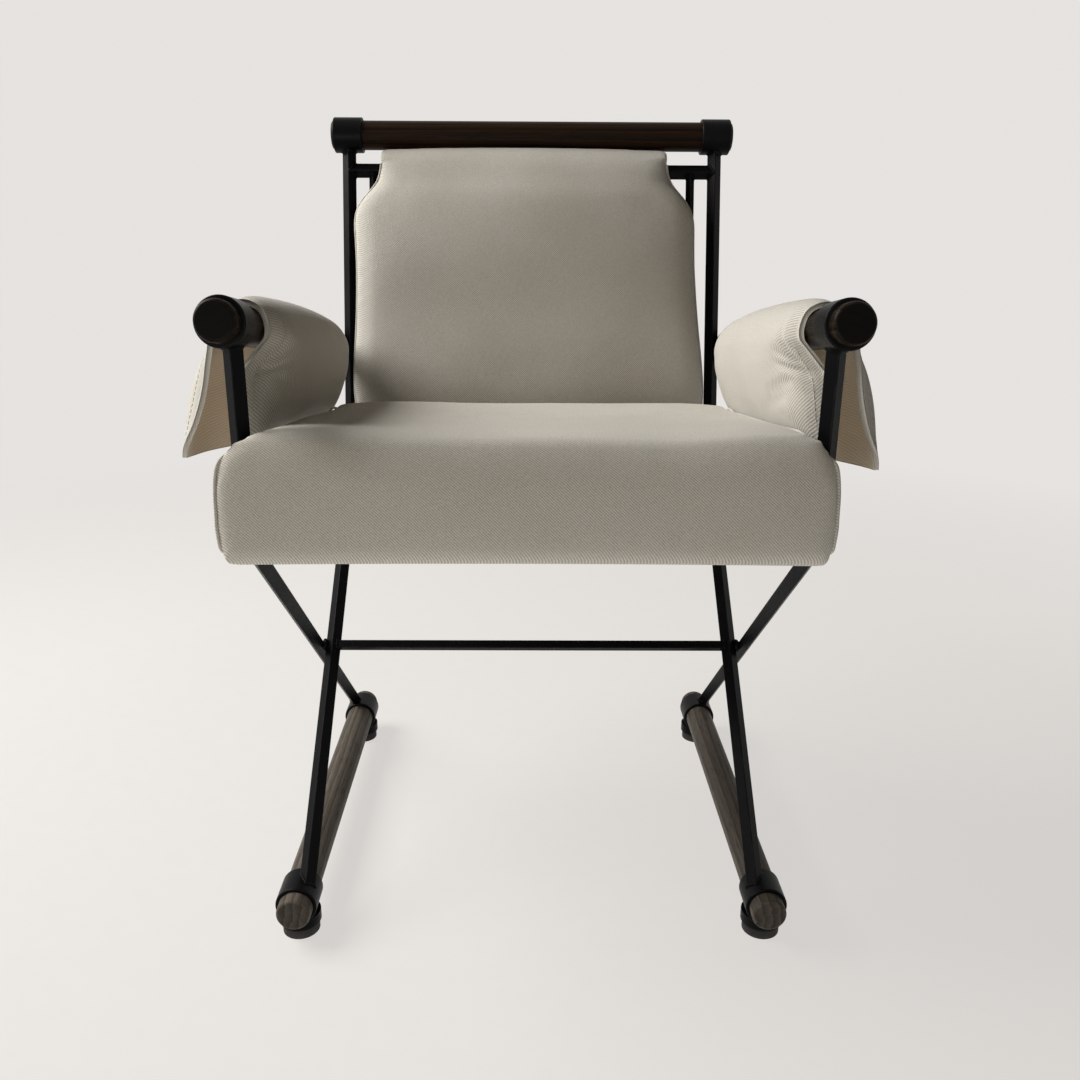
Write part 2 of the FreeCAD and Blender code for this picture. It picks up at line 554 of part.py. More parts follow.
def pillow(origin, across, out, half_width, edge, crown, shoulder):
    """Like a lens, with sides that tuck in below and roll over a round shoulder above."""
    turned = math.sqrt(0.5)

    def spot(side, draw_in, height):
        return origin + across * (side * (half_width - draw_in * shoulder)) + out * height

    def half_side(side):
        widest = spot(side, 0, edge - shoulder)
        tuck = Part.Arc(spot(side, 0.48, 0), spot(side, 0.1, 0.28 * edge), widest)
        roll = Part.Arc(widest, spot(side, 1 - turned, edge - shoulder * (1 - turned)), spot(side, 1, edge))
        return [tuck.toShape(), roll.toShape()]

    base = Part.LineSegment(spot(-1, 0.48, 0), spot(1, 0.48, 0)).toShape()
    arch = Part.Arc(spot(1, 1, edge), origin + out * (edge + crown), spot(-1, 1, edge)).toShape()
    return Part.Wire([base] + half_side(1) + [arch] + half_side(-1)[::-1])


def lofted(sections, outline=lens):
    return Part.makeLoft([outline(*section) for section in sections], True, False)


def covered(name, outer, fill):
    """A closed cover and the fill it holds, as two pieces."""
    nodes[name + "_cover"] = solid_feature(name + "_cover", outer.cut(fill))
    nodes[name + "_fill"] = solid_feature(name + "_fill", fill)


skin = size("cover_thickness")
across = Vector(1, 0, 0)

# Seat cushion: lies on the rails, with two wings that reach in front of the arm posts.
tilt = math.radians(size("deck_angle"))
rearward = Vector(0, math.cos(tilt), -math.sin(tilt))
upward = Vector(0, math.sin(tilt), math.cos(tilt))
deck_z = size("front_rail_z") + size("front_rail_lag") * size("deck_slope")
deck = Vector(0, size("arm_post_y"), deck_z) + upward * (size("bar_reach") + size("rest_gap"))


def seat_shape(inset):
    front = -size("seat_overhang") + inset
    rear = size("seat_rear") - inset
    lean_back = (size("seat_thickness") + size("seat_crown")) * math.tan(tilt)
    notch = -size("bar_reach") - size("wing_gap") - lean_back - inset
    half_widths = {"wing": size("wing_width") / 2 - inset, "body": size("seat_width") / 2 - inset}
    tall = size("seat_thickness") - 2 * inset
    crown = size("seat_crown")
    roll = size("seat_roll")
    droop = size("seat_droop") / tall
    shoulder = size("seat_shoulder") / (size("seat_thickness") + size("seat_droop"))

    def station(along, low, high, draw_in, rise, side_shape):
        """Low and high are shares of the thickness; draw_in is a share of the corner's."""
        origin = deck + rearward * along + upward * (inset + low * tall)
        half_width = half_widths[side_shape] - draw_in * size("seat_corner")
        edge = (high - low) * tall
        side = edge * shoulder if side_shape == "wing" else size("seat_bulge")
        return (origin, across, upward, half_width, edge, rise * crown, side)

    reach = notch - front
    nose = [
        station(front, 0.17 - droop, 0.70, 1.0, 0.45, "wing"),
        station(front + 0.13 * reach, 0.07 - droop, 0.83, 0.33, 0.60, "wing"),
        station(front + 0.42 * reach, 0.01 - droop, 0.95, 0.07, 0.78, "wing"),
        station(notch, -droop, 1.0, 0.0, 1.0, "wing")]
    main = [
        station(notch, 0.0, 1.0, 0.0, 0.90, "body"),
        station(0.3 * rear, 0.0, 1.0, 0.0, 1.0, "body"),
        station(0.7 * rear, 0.0, 1.0, 0.0, 1.0, "body"),
        station(rear - roll, 0.0, 1.0, 0.0, 0.9, "body")]
    tail = [
        station(rear - roll, 0.0, 1.0, 0.0, 0.9, "body"),
        station(rear - 0.55 * roll, 0.015, 0.975, 0.07, 0.8, "body"),
        station(rear - 0.2 * roll, 0.06, 0.91, 0.28, 0.7, "body"),
        station(rear, 0.15, 0.80, 0.78, 0.55, "body")]
    return lofted(nose, pillow).fuse([lofted(main), lofted(tail)]).removeSplitter()


covered("seat_cushion", seat_shape(0.0), seat_shape(skin))

# Back pad: hangs in front of the thin bars, narrows to a neck and folds over the crossbar.
lean = math.radians(size("back_recline"))
up_back = Vector(0, math.sin(lean), math.cos(lean))
to_front = Vector(0, -math.cos(lean), math.sin(lean))
bend = Vector(0, size("back_bend_y"), size("back_bend_z"))


def back_shape(inset):
    face = size("bar_reach") + size("rest_gap")
    run = size("crossbar_run")
    wide = size("back_width") / 2 - inset
    neck = size("neck_width") / 2 - inset
    bottom = size("back_bottom") + inset
    edge = size("back_edge") - 2 * inset
    crown = size("back_crown")
    wrap = size("wrap_thickness") - 2 * inset
    corner = size("back_corner")
    roll = size("back_roll")
    flare = size("back_flare")
    slight = 0.04 * crown
    hem_bulge = 0.5 * size("back_bulge")
    axis = bend + up_back * run
    sections = []

    def front_station(along, width, thick, rise):
        origin = bend + up_back * along + to_front * (face + inset)
        sections.append((origin, across, to_front, width, thick, rise, size("back_bulge")))

    front_station(bottom, wide + flare - corner, 0.45 * edge, 0.3 * crown)
    front_station(bottom + 0.3 * roll, wide + flare - 0.3 * corner, 0.8 * edge, 0.7 * crown)
    front_station(bottom + roll, wide + flare, edge, crown)
    front_station(0.5 * run, wide + 0.4 * flare, edge, crown)
    front_station(0.78 * run, wide, edge, crown)
    front_station(0.865 * run, wide - 0.3 * corner, 0.95 * edge, 0.9 * crown)
    front_station(0.915 * run, 0.5 * (wide + neck), 0.85 * edge, 0.75 * crown)
    front_station(0.955 * run, neck + 0.3 * corner, 0.72 * edge, 0.55 * crown)
    front_station(0.99 * run, neck, 0.62 * edge, 0.35 * crown)
    for degrees in (45, 90, 135, 180):
        turn = math.radians(degrees)
        out = to_front * math.cos(turn) + up_back * math.sin(turn)
        fade = 1 - degrees / 180
        sections.append((axis + out * (face + inset), across, out, neck, wrap * (0.85 + 0.15 * fade),
                         0.2 * crown * fade + slight, hem_bulge))
    for share in (0.35, 0.75, 0.96, 1.0):
        tail = size("back_flap") * share - (inset if share == 1.0 else 0)
        trim = {0.96: 0.3, 1.0: 0.8}.get(share, 0) * corner
        origin = axis - up_back * tail - to_front * (face + inset)
        sections.append((origin, across, to_front * -1, neck - trim, 0.8 * wrap, slight, hem_bulge))
    return lofted(sections)


covered("back_pad", back_shape(0.0), back_shape(skin))


# Arm pads: a filled inner panel, a fold over the wood and a thin flap outside, front to back alike.
def arm_pad_shape(side, inset):
    splay = math.radians(size("arm_splay"))
    fall = math.radians(size("arm_fall"))
    level = Vector(side * math.sin(splay), math.cos(splay), 0)
    along = level * math.cos(fall) - Vector(0, 0, math.sin(fall))
    outward = Vector(side * math.cos(splay), -math.sin(splay), 0)
    rise = outward.cross(along) * side
    root = Vector(side * size("arm_front_x"), size("arm_post_y"), size("arm_height"))
    start = size("arm_pad_start")
    length = size("arm_pad_length")
    middle = root + along * (start + length / 2)
    half = length / 2 - inset
    wood = size("dowel_diameter") / 2 + size("arm_pad_gap")
    fill = size("arm_pad_fill")
    top = size("arm_pad_top")
    drop = size("arm_panel_drop")
    flap = size("arm_flap_drop")
    spread = size("arm_flap_spread")
    thin = size("arm_flap_thickness")
    hem = size("arm_pad_hem")
    stations = [
        (0.5 * wood, -drop + inset, -1.0, 0.0, hem, 0.44, 0.05),
        (0.46 * wood, -0.93 * drop, -1.0, 0.0, 1.5 * hem, 0.12, 0.08),
        (0.3 * wood, -0.74 * drop, -1.0, 0.0, 0.84 * fill, 0, 0.34),
        (-0.02 * wood, -0.5 * drop, -1.0, 0.05, 1.22 * fill, 0, 0.6),
        (-0.62 * wood, -0.25 * drop, -0.99, 0.12, 1.03 * fill, 0, 0.7),
        (-wood, 0.0, -1.0, 0.25, 0.62 * fill, 0, 0.7),
        (-0.71 * wood, 0.71 * wood, -0.71, 0.71, 1.1 * top, 0, 0.8),
        (0.0, wood, 0.0, 1.0, top, 0, 0.75),
        (0.71 * wood, 0.71 * wood, 0.71, 0.71, 0.85 * top, 0, 0.5),
        (wood, 0.0, 1.0, 0.1, 1.1 * thin, 0, 0.2),
        (wood + 0.32 * (spread - wood), -0.38 * flap, 0.96, 0.28, thin, 0, 0.1),
        (wood + 0.72 * (spread - wood), -0.76 * flap, 0.95, 0.31, thin, 0, 0.08),
        (wood + 0.95 * (spread - wood), -0.95 * flap, 0.95, 0.31, thin, 0.31, 0.06),
        (spread, -flap + inset, 0.95, 0.31, thin, 1.0, 0.05)]
    sections = []
    for x, z, out_x, out_z, thick, draw_in, crown in stations:
        out = (outward * out_x + rise * out_z).normalize()
        origin = middle + outward * x + rise * z + out * inset
        width = half - draw_in * size("arm_pad_corner")
        sections.append((origin, along, out, width, thick - 2 * inset, crown * size("arm_pad_crown"),
                         size("arm_pad_bulge")))
    return lofted(sections)


for hand, side in SIDES:
    covered(f"arm_pad_{hand}", arm_pad_shape(side, 0.0), arm_pad_shape(side, skin))
doc.recompute()

# Every object is checked before any file is written.
for item in doc.Objects:
    if "Invalid" in item.State:
        raise RuntimeError(f"{item.Name} did not compute: {item.State}")
for name, item in nodes.items():
    shape = item.Shape
    if shape.isNull() or not shape.isValid() or shape.Volume <= 0:
        raise RuntimeError(f"{name} has a bad shape")
    expected = {"collar_pins": len(pin_solids), "foot_screws": len(screws)}.get(name, 1)
    if len(shape.Solids) != expected:
        raise RuntimeError(f"{name} has {len(shape.Solids)} solids, not {expected}")
os.makedirs("parts", exist_ok=True)
for name, item in nodes.items():
    item.Shape.exportStep(f"parts/{name}.step")
whole = Part.makeCompound([item.Shape for item in nodes.values()]).BoundBox
print(f"{len(nodes)} nodes, X {whole.XMin:.2f} {whole.XMax:.2f}, Y {whole.YMin:.2f} {whole.YMax:.2f}, "
      f"Z {whole.ZMin:.2f} {whole.ZMax:.2f}")
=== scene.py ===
import json
import math

import bpy
import numpy as np
from mathutils import Matrix, Vector
from mathutils.bvhtree import BVHTree
from mathutils.kdtree import KDTree


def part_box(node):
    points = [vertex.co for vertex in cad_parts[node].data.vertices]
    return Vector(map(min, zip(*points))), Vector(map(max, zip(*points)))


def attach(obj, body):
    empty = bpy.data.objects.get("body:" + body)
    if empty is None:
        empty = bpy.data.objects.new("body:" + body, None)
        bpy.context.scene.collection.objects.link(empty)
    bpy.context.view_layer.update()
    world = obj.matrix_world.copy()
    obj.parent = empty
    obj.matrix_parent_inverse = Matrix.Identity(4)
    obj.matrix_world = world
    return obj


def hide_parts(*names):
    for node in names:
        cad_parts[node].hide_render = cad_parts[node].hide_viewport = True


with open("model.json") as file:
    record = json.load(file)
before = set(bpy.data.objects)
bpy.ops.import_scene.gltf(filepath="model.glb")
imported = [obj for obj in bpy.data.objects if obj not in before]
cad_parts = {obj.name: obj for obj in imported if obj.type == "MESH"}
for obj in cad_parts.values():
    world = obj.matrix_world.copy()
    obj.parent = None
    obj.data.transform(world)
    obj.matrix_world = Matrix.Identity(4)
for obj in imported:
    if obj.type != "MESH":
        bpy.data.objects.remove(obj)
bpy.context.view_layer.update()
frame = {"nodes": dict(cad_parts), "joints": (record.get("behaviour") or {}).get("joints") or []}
nodes = frame["nodes"]
scene = bpy.context.scene

# Side frames: on each side two half-inch square iron bars, bent once and crossed, one rising to
# the arm and one to the top rail. The iron stands on the diamond and is brushed satin black,
# rubbed a little thin along its corners.
IRON_BLACK = (0.0022, 0.0024, 0.0030, 1)
IRON_DUST = (0.0070, 0.0074, 0.0084, 1)
IRON_RUBBED = (0.040, 0.040, 0.041, 1)
SIDES = (("left", -1), ("right", 1))


def node_group(name, inputs, outputs):
    """A shader group with its named sockets; returns the tree and its two end nodes."""
    tree = bpy.data.node_groups.new(name, "ShaderNodeTree")
    for label, kind, value in inputs:
        socket = tree.interface.new_socket(label, in_out="INPUT", socket_type="NodeSocket" + kind)
        if value is not None:
            socket.default_value = value
    for label, kind in outputs:
        tree.interface.new_socket(label, in_out="OUTPUT", socket_type="NodeSocket" + kind)
    return tree, tree.nodes.new("NodeGroupInput"), tree.nodes.new("NodeGroupOutput")


def put(tree, kind, options=None, **sockets):
    """Adds a node, sets its options, then its sockets by name or, as i0, i1, by number."""
    node = tree.nodes.new("ShaderNode" + kind)
    for key, value in (options or {}).items():
        setattr(node, key, value)
    for key, value in sockets.items():
        socket = node.inputs[int(key[1:])] if key[1:].isdigit() else node.inputs[key.replace("_", " ")]
        if isinstance(value, bpy.types.NodeSocket):
            tree.links.new(value, socket)
        else:
            socket.default_value = value
    return node


def calc(tree, operation, first, second=0.0):
    return put(tree, "Math", {"operation": operation}, i0=first, i1=second).outputs[0]


def spread(tree, value, low, high, to_low=0.0, to_high=1.0):
    """Maps a value from one range to another and stops at the ends."""
    return put(tree, "MapRange", {"clamp": True}, Value=value, From_Min=low, From_Max=high,
               To_Min=to_low, To_Max=to_high).outputs["Result"]


def tint(tree, factor, first, second, way="MIX"):
    """Two colours mixed by a factor."""
    mix = put(tree, "Mix", {"data_type": "RGBA", "blend_type": way}, i0=factor, i6=first, i7=second)
    return mix.outputs[2]


def place_group(tree, group, **sockets):
    return put(tree, "Group", {"node_tree": group}, **sockets).outputs


def new_finish(name, **sockets):
    """A material, its tree, its shader with constants on its own sockets, and the piece's own coordinates."""
    material = bpy.data.materials.new(name)
    material.use_nodes = True
    tree = material.node_tree
    shader = tree.nodes["Principled BSDF"]
    for key, value in sockets.items():
        shader.inputs[key.replace("_", " ")].default_value = value
    return material, tree, shader, put(tree, "TexCoord").outputs["Object"]


def join(tree, shader, bump_strength=None, bump_distance=0.001, **sockets):
    """Links values to the shader; height goes through a bump node."""
    for key, value in sockets.items():
        if key == "height":
            bump = put(tree, "Bump", Strength=bump_strength, Distance=bump_distance, Height=value)
            tree.links.new(bump.outputs["Normal"], shader.inputs["Normal"])
        else:
            tree.links.new(value, shader.inputs[key.replace("_", " ")])


def dress(material, *names):
    """Gives a finish to pieces that come from the frame."""
    for name in names:
        mesh = nodes[name].data
        mesh.materials.clear()
        mesh.materials.append(material)


wear, wear_in, wear_out = node_group(
    "edge_wear", [("Position", "Vector", None), ("Reach", "Float", 0.002), ("Patch Scale", "Float", 60.0)],
    [("Worn", "Float")])
corner = put(wear, "Bevel", {"samples": 4}, Radius=wear_in.outputs["Reach"])
flat = put(wear, "NewGeometry")
bend = put(wear, "VectorMath", {"operation": "DOT_PRODUCT"}, i0=corner.outputs["Normal"],
           i1=flat.outputs["Normal"])
patch = put(wear, "TexNoise", Vector=wear_in.outputs["Position"], Scale=wear_in.outputs["Patch Scale"],
            Detail=5.0)
rubbed = calc(wear, "MULTIPLY", spread(wear, bend.outputs["Value"], 0.985, 0.86),
              spread(wear, patch.outputs["Fac"], 0.42, 0.68))
wear.links.new(rubbed, wear_out.inputs["Worn"])

mottle, mottle_in, mottle_out = node_group(
    "hand_finish",
    [("Position", "Vector", None), ("Broad Scale", "Float", 9.0), ("Fine Scale", "Float", 240.0)],
    [("Broad", "Float"), ("Fine", "Float")])
for label in ("Broad", "Fine"):
    cloud = put(mottle, "TexNoise", Vector=mottle_in.outputs["Position"],
                Scale=mottle_in.outputs[label + " Scale"], Detail=6.0, Roughness=0.6)
    mottle.links.new(cloud.outputs["Fac"], mottle_out.inputs[label])


def iron_finish(name, rub_reach, smooth, rough):
    """Black iron; rub_reach is how far in from a corner it is rubbed thin."""
    material, tree, shader, position = new_finish(name, Metallic=0.0, Specular_IOR_Level=0.06)
    rub = place_group(tree, wear, Position=position, Reach=rub_reach)["Worn"]
    skin = place_group(tree, mottle, Position=position, Broad_Scale=14.0, Fine_Scale=420.0)
    paint = tint(tree, spread(tree, skin["Broad"], 0.45, 0.75, 0.0, 0.55), IRON_BLACK, IRON_DUST)
    colour = tint(tree, calc(tree, "MULTIPLY", rub, 0.75), paint, IRON_RUBBED)
    sheen = calc(tree, "ADD", spread(tree, skin["Broad"], 0.3, 0.7, smooth, rough),
                 spread(tree, skin["Fine"], 0.35, 0.65, -0.05, 0.06))
    join(tree, shader, 0.22, 0.0006, Base_Color=colour, Roughness=sheen, height=skin["Fine"])
    return material


bar_iron = iron_finish("bar_iron", 0.0022, 0.34, 0.46)
dress(bar_iron, *[f"{kind}_post_{hand}" for kind in ("back", "arm") for hand, side in SIDES])

# Cross members and thin bars: the stretcher between the crossings, the crossbar under the top rail,
# the two seat rails, and five thin square bars that run back under the cushion and up behind the pad.
# All are the same black iron, cut to the bar they meet and welded.
THIN_BARS = [f"seat_back_bar_{number}" for number in range(1, 6)]
CROSS_BARS = ("leg_stretcher", "back_crossbar", "seat_front_rail", "seat_rear_rail")
dress(bar_iron, *CROSS_BARS, *THIN_BARS)

# Welds: a rippled bead of filler runs round every end where a bar meets a bar or a collar,
# and a puddle fills the point where the two legs of a side cross. They are painted with the iron.
BAR_HALF_DIAGONAL = 0.00857
THIN_HALF_DIAGONAL = 0.00537
STRETCHER_HALF_DIAGONAL = 0.00643
BEAD_RADIUS = 0.0017
BEAD_POINTS = 36
BEAD_RING = 8
# Ripples of a bead: share of its radius, and how fast they turn along it.
BEAD_RIPPLES = ((0.16, 2.1), (0.08, 0.7))
WELD_SEARCH = 0.05
PUDDLE_LUMP = 0.10
CROSSING_PUDDLE = (0.0042, 0.0075, 0.0075)
COLLAR_PUDDLE = (0.0030, 0.0085, 0.0085)
BACK_RECLINE = math.radians(13.35)
FRONT_FOOT_LEAD = 0.0152
REAR_FOOT_LAG = 0.0229
ACROSS = Vector((1, 0, 0))
UP = Vector((0, 0, 1))


def middle(name):
    low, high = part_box(name)
    return (low + high) / 2


def skin_of(piece):
    """A search tree over a piece."""
    mesh = piece.data
    return BVHTree.FromPolygons([vertex.co.copy() for vertex in mesh.vertices],
                                [tuple(face.vertices) for face in mesh.polygons])


def new_piece(name, points, faces, material, body, slot):
    """A smooth mesh piece that rides on a body."""
    mesh = bpy.data.meshes.new(name)
    mesh.from_pydata([tuple(point) for point in points], [], faces)
    mesh.materials.append(material)
    mesh.polygons.foreach_set("use_smooth", [True] * len(mesh.polygons))
    piece = bpy.data.objects.new(name, mesh)
    scene.collection.objects.link(piece)
    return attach(piece, body)


def tube(path, outs, backs, radius, ring, closed):
    """Points and faces of a tube; radius may change along the path."""
    points, faces = [], []
    count = len(path)
    for step, (centre, out, back) in enumerate(zip(path, outs, backs)):
        size = radius(step) if callable(radius) else radius
        for turn in range(ring):
            angle = 2 * math.pi * turn / ring
            points.append(centre + (out * math.cos(angle) + back * math.sin(angle)) * size)
    for step in range(count if closed else count - 1):
        here, there = step * ring, (step + 1) % count * ring
        for turn in range(ring):
            after = (turn + 1) % ring
            faces.append((here + turn, there + turn, there + after, here + after))
    if not closed:
        faces.append(tuple(range(ring))[::-1])
        faces.append(tuple(range((count - 1) * ring, count * ring)))
    return points, faces


def merged(parts):
    """Points and faces of several parts as one."""
    points, faces = [], []
    for part_points, part_faces in parts:
        faces += [tuple(len(points) + index for index in face) for face in part_faces]
        points += part_points
    return points, faces


beads = []


def bead_size(step):
    return BEAD_RADIUS * (1 + sum(share * math.sin(rate * step) for share, rate in BEAD_RIPPLES))


def weld(centre, direction, up, half, name):
    """A bead round a bar that runs along direction into a named piece, with a corner along up."""
    target = skin_of(nodes[name])
    side = direction.cross(up).normalized()
    path, outs = [], []
    for step in range(BEAD_POINTS):
        angle = 2 * math.pi * step / BEAD_POINTS
        shrink = half / (abs(math.cos(angle)) + abs(math.sin(angle)))
        offset = (up * math.cos(angle) + side * math.sin(angle)) * shrink
        hit = target.ray_cast(centre + offset - direction * WELD_SEARCH, direction, 2 * WELD_SEARCH)[0]
        if hit is None:
            hit = target.find_nearest(centre + offset)[0]
        path.append(hit)
        outs.append(offset.normalized())
    beads.append(tube(path, outs, [-direction] * BEAD_POINTS, bead_size, BEAD_RING, True))


def puddle(centre, radii):
    """A flattened drop of weld metal."""
    rows, columns = 9, 16
    points, faces = [], []
    for row in range(rows + 1):
        lean = math.pi * row / rows
        for column in range(columns):
            turn = 2 * math.pi * column / columns
            lump = 1 + PUDDLE_LUMP * math.sin(3 * turn + 2 * lean)
            ball = Vector((math.cos(lean), math.sin(lean) * math.cos(turn), math.sin(lean) * math.sin(turn)))
            points.append(centre + Vector(part * radius * lump for part, radius in zip(ball, radii)))
    for row in range(rows):
        for column in range(columns):
            after = (column + 1) % columns
            faces.append((row * columns + column, row * columns + after,
                          (row + 1) * columns + after, (row + 1) * columns + column))
    beads.append((points, faces))


slide_out = Vector(frame["joints"][0]["axis"])
up_back = Vector((0, math.sin(BACK_RECLINE), math.cos(BACK_RECLINE)))
crossing = middle("leg_stretcher")
for hand, side in SIDES:
    back_post, arm_post = f"back_post_{hand}", f"arm_post_{hand}"
    back_x = side * abs(middle(back_post).x)
    arm_x = side * abs(middle(arm_post).x)
    ends = (("leg_stretcher", STRETCHER_HALF_DIAGONAL, back_post, back_x),
            ("back_crossbar", BAR_HALF_DIAGONAL, back_post, back_x),
            ("seat_rear_rail", BAR_HALF_DIAGONAL, back_post, back_x),
            ("seat_front_rail", BAR_HALF_DIAGONAL, arm_post, arm_x))
    for bar, half, target, end_x in ends:
        weld(Vector((end_x, *middle(bar)[1:])), ACROSS * side, UP, half, target)
    for end, leg_x, shift in (("front", back_x, -FRONT_FOOT_LEAD), ("rear", arm_x, REAR_FOOT_LAG)):
        collar = f"runner_collar_{end}_{hand}"
        foot = Vector((leg_x, middle(collar).y + shift, middle(collar).z))
        run = (foot - Vector((leg_x, *crossing[1:]))).normalized()
        weld(foot, run, ACROSS, BAR_HALF_DIAGONAL, collar)
    rail_seat = Vector((back_x, *middle(f"rail_collar_{hand}")[1:]))
    weld(rail_seat, up_back, ACROSS, BAR_HALF_DIAGONAL, f"rail_collar_{hand}")
    collar = f"arm_collar_front_{hand}"
    arm_top = Vector((arm_x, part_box(arm_post)[0].y + BAR_HALF_DIAGONAL, middle(collar).z))
    weld(arm_top, UP, ACROSS, BAR_HALF_DIAGONAL, collar)
    puddle(Vector(((back_x + arm_x) / 2, *crossing[1:])), CROSSING_PUDDLE)
    rear_arm = middle(f"arm_collar_rear_{hand}")
    puddle(Vector((back_x + side * BAR_HALF_DIAGONAL, rear_arm.y, rear_arm.z)), COLLAR_PUDDLE)
for bar in THIN_BARS:
    at_x = middle(bar).x
    top = Vector((at_x, *middle("back_crossbar")[1:]))
    weld(top, up_back, ACROSS, THIN_HALF_DIAGONAL, "back_crossbar")
    front = Vector((at_x, *middle("seat_front_rail")[1:]))
    weld(front, slide_out, ACROSS, THIN_HALF_DIAGONAL, "seat_front_rail")
new_piece("frame_welds", *merged(beads), bar_iron, "frame", "iron")

# Pipe collars and foot seats: short lengths of black pipe that clasp the wood rounds, with eased rims,
# and turned iron discs under the four runner collars. Hands and floors have polished their rims.
collar_iron = iron_finish("collar_iron", 0.0030, 0.30, 0.42)
COLLARS = [name for name in nodes if "collar_" in name and name != "collar_pins"]
dress(collar_iron, *COLLARS, *[name for name in nodes if name.startswith("foot_seat")])

# Wood rounds: the top rail, the two arms and the two floor runners are turned hardwood dowels with
# rounded ends, stained dark; the runners have faded to a taupe brown. Grain runs along each round.
ARM_FALL = math.radians(8.0)
GRAIN_STRETCH = 26.0
HEART_OFFSET = (0.021, 0, 0.013)


def weigh(tree, first, first_share, second, second_share):
    """Two values, each times its share, added up."""
    return calc(tree, "ADD", calc(tree, "MULTIPLY", first, first_share),
                calc(tree, "MULTIPLY", second, second_share))


grain, grain_in, grain_out = node_group(
    "wood_grain",
    [("Position", "Vector", None), ("Ring Scale", "Float", 38.0), ("Streak Scale", "Float", 260.0)],
    [("Figure", "Float"), ("Pores", "Float")])
rings = put(grain, "TexWave", {"wave_type": "RINGS", "rings_direction": "Y", "wave_profile": "SAW"},
            Vector=grain_in.outputs["Position"], Scale=grain_in.outputs["Ring Scale"], Distortion=5.0,
            Detail=3.0, Detail_Scale=1.6)
streak = put(grain, "TexNoise", Vector=grain_in.outputs["Position"], Scale=grain_in.outputs["Streak Scale"],
             Detail=7.0, Roughness=0.62)
figure = weigh(grain, rings.outputs["Fac"], 0.45, streak.outputs["Fac"], 0.55)
pore = put(grain, "TexNoise", Vector=grain_in.outputs["Position"], Scale=1150.0, Detail=2.0)
grain.links.new(figure, grain_out.inputs["Figure"])
grain.links.new(spread(grain, pore.outputs["Fac"], 0.56, 0.70), grain_out.inputs["Pores"])


def wood_finish(name, dark, light, bare, turn, smooth, rough, end_shade=1.0):
    """A stained round; turn lays the grain along it, bare is where the stain has rubbed through.
    The end grain takes more stain, down to end_shade of the colour."""
    material, tree, shader, position = new_finish(
        name, Specular_IOR_Level=0.05, Coat_Weight=0.02, Coat_Roughness=0.3)
    laid = put(tree, "Mapping", {"vector_type": "TEXTURE"}, Vector=position, Location=HEART_OFFSET,
               Rotation=turn, Scale=(1, GRAIN_STRETCH, 1)).outputs["Vector"]
    wood = place_group(tree, grain, Position=laid)
    rub = place_group(tree, wear, Position=position, Reach=0.004, Patch_Scale=45.0)["Worn"]
    age = place_group(tree, mottle, Position=position, Broad_Scale=11.0)["Broad"]
    stain = tint(tree, spread(tree, wood["Figure"], 0.28, 0.72), dark, light)
    stain = tint(tree, calc(tree, "MULTIPLY", rub, 0.6), stain, bare)
    facing = put(tree, "SeparateXYZ", Vector=put(tree, "TexCoord").outputs["Normal"]).outputs["Y"]
    end_on = spread(tree, calc(tree, "ABSOLUTE", facing), 0.8, 0.97, 1.0, end_shade)
    shade = calc(tree, "MULTIPLY", spread(tree, wood["Pores"], 0.0, 1.0, 1.0, 0.45), end_on)
    grey = put(tree, "CombineColor", i0=shade, i1=shade, i2=shade).outputs[0]
    colour = tint(tree, 1.0, stain, grey, "MULTIPLY")
    gloss = calc(tree, "ADD", spread(tree, age, 0.3, 0.7, smooth, rough),
                 calc(tree, "MULTIPLY", wood["Pores"], 0.2))
    relief = calc(tree, "SUBTRACT", wood["Figure"], calc(tree, "MULTIPLY", wood["Pores"], 0.8))
    join(tree, shader, 0.25, 0.0005, Base_Color=colour, Roughness=gloss, height=relief)
    return material


rail_wood = wood_finish("rail_wood", (0.0050, 0.0024, 0.0011, 1), (0.026, 0.0120, 0.0052, 1),
                        (0.060, 0.029, 0.014, 1), (0, 0, math.radians(90)), 0.34, 0.48)
arm_wood = wood_finish("arm_wood", (0.0026, 0.0018, 0.0013, 1), (0.0200, 0.0130, 0.0085, 1),
                       (0.070, 0.036, 0.018, 1), (-ARM_FALL, 0, 0), 0.33, 0.45, 0.10)
runner_wood = wood_finish("runner_wood", (0.060, 0.051, 0.042, 1), (0.128, 0.110, 0.090, 1),
                          (0.16, 0.13, 0.10, 1), (0, 0, 0), 0.42, 0.56, 0.70)
dress(rail_wood, "top_rail")
dress(arm_wood, "arm_dowel_left", "arm_dowel_right")
dress(runner_wood, "floor_runner_left", "floor_runner_right")

# Fixings: dull steel pins through the collars into the wood, and a screw up through each foot.
# They are plain stock, lightly brushed and browned with age.
fixing_steel, tree, shader, position = new_finish("fixing_steel", Metallic=1.0)
skin = place_group(tree, mottle, Position=position, Broad_Scale=60.0, Fine_Scale=900.0)
colour = tint(tree, spread(tree, skin["Broad"], 0.4, 0.7), (0.15, 0.145, 0.14, 1), (0.07, 0.055, 0.045, 1))
join(tree, shader, 0.2, 0.0003, Base_Color=colour, height=skin["Fine"],
     Roughness=spread(tree, skin["Fine"], 0.3, 0.7, 0.32, 0.52))
dress(fixing_steel, "collar_pins", "foot_screws")

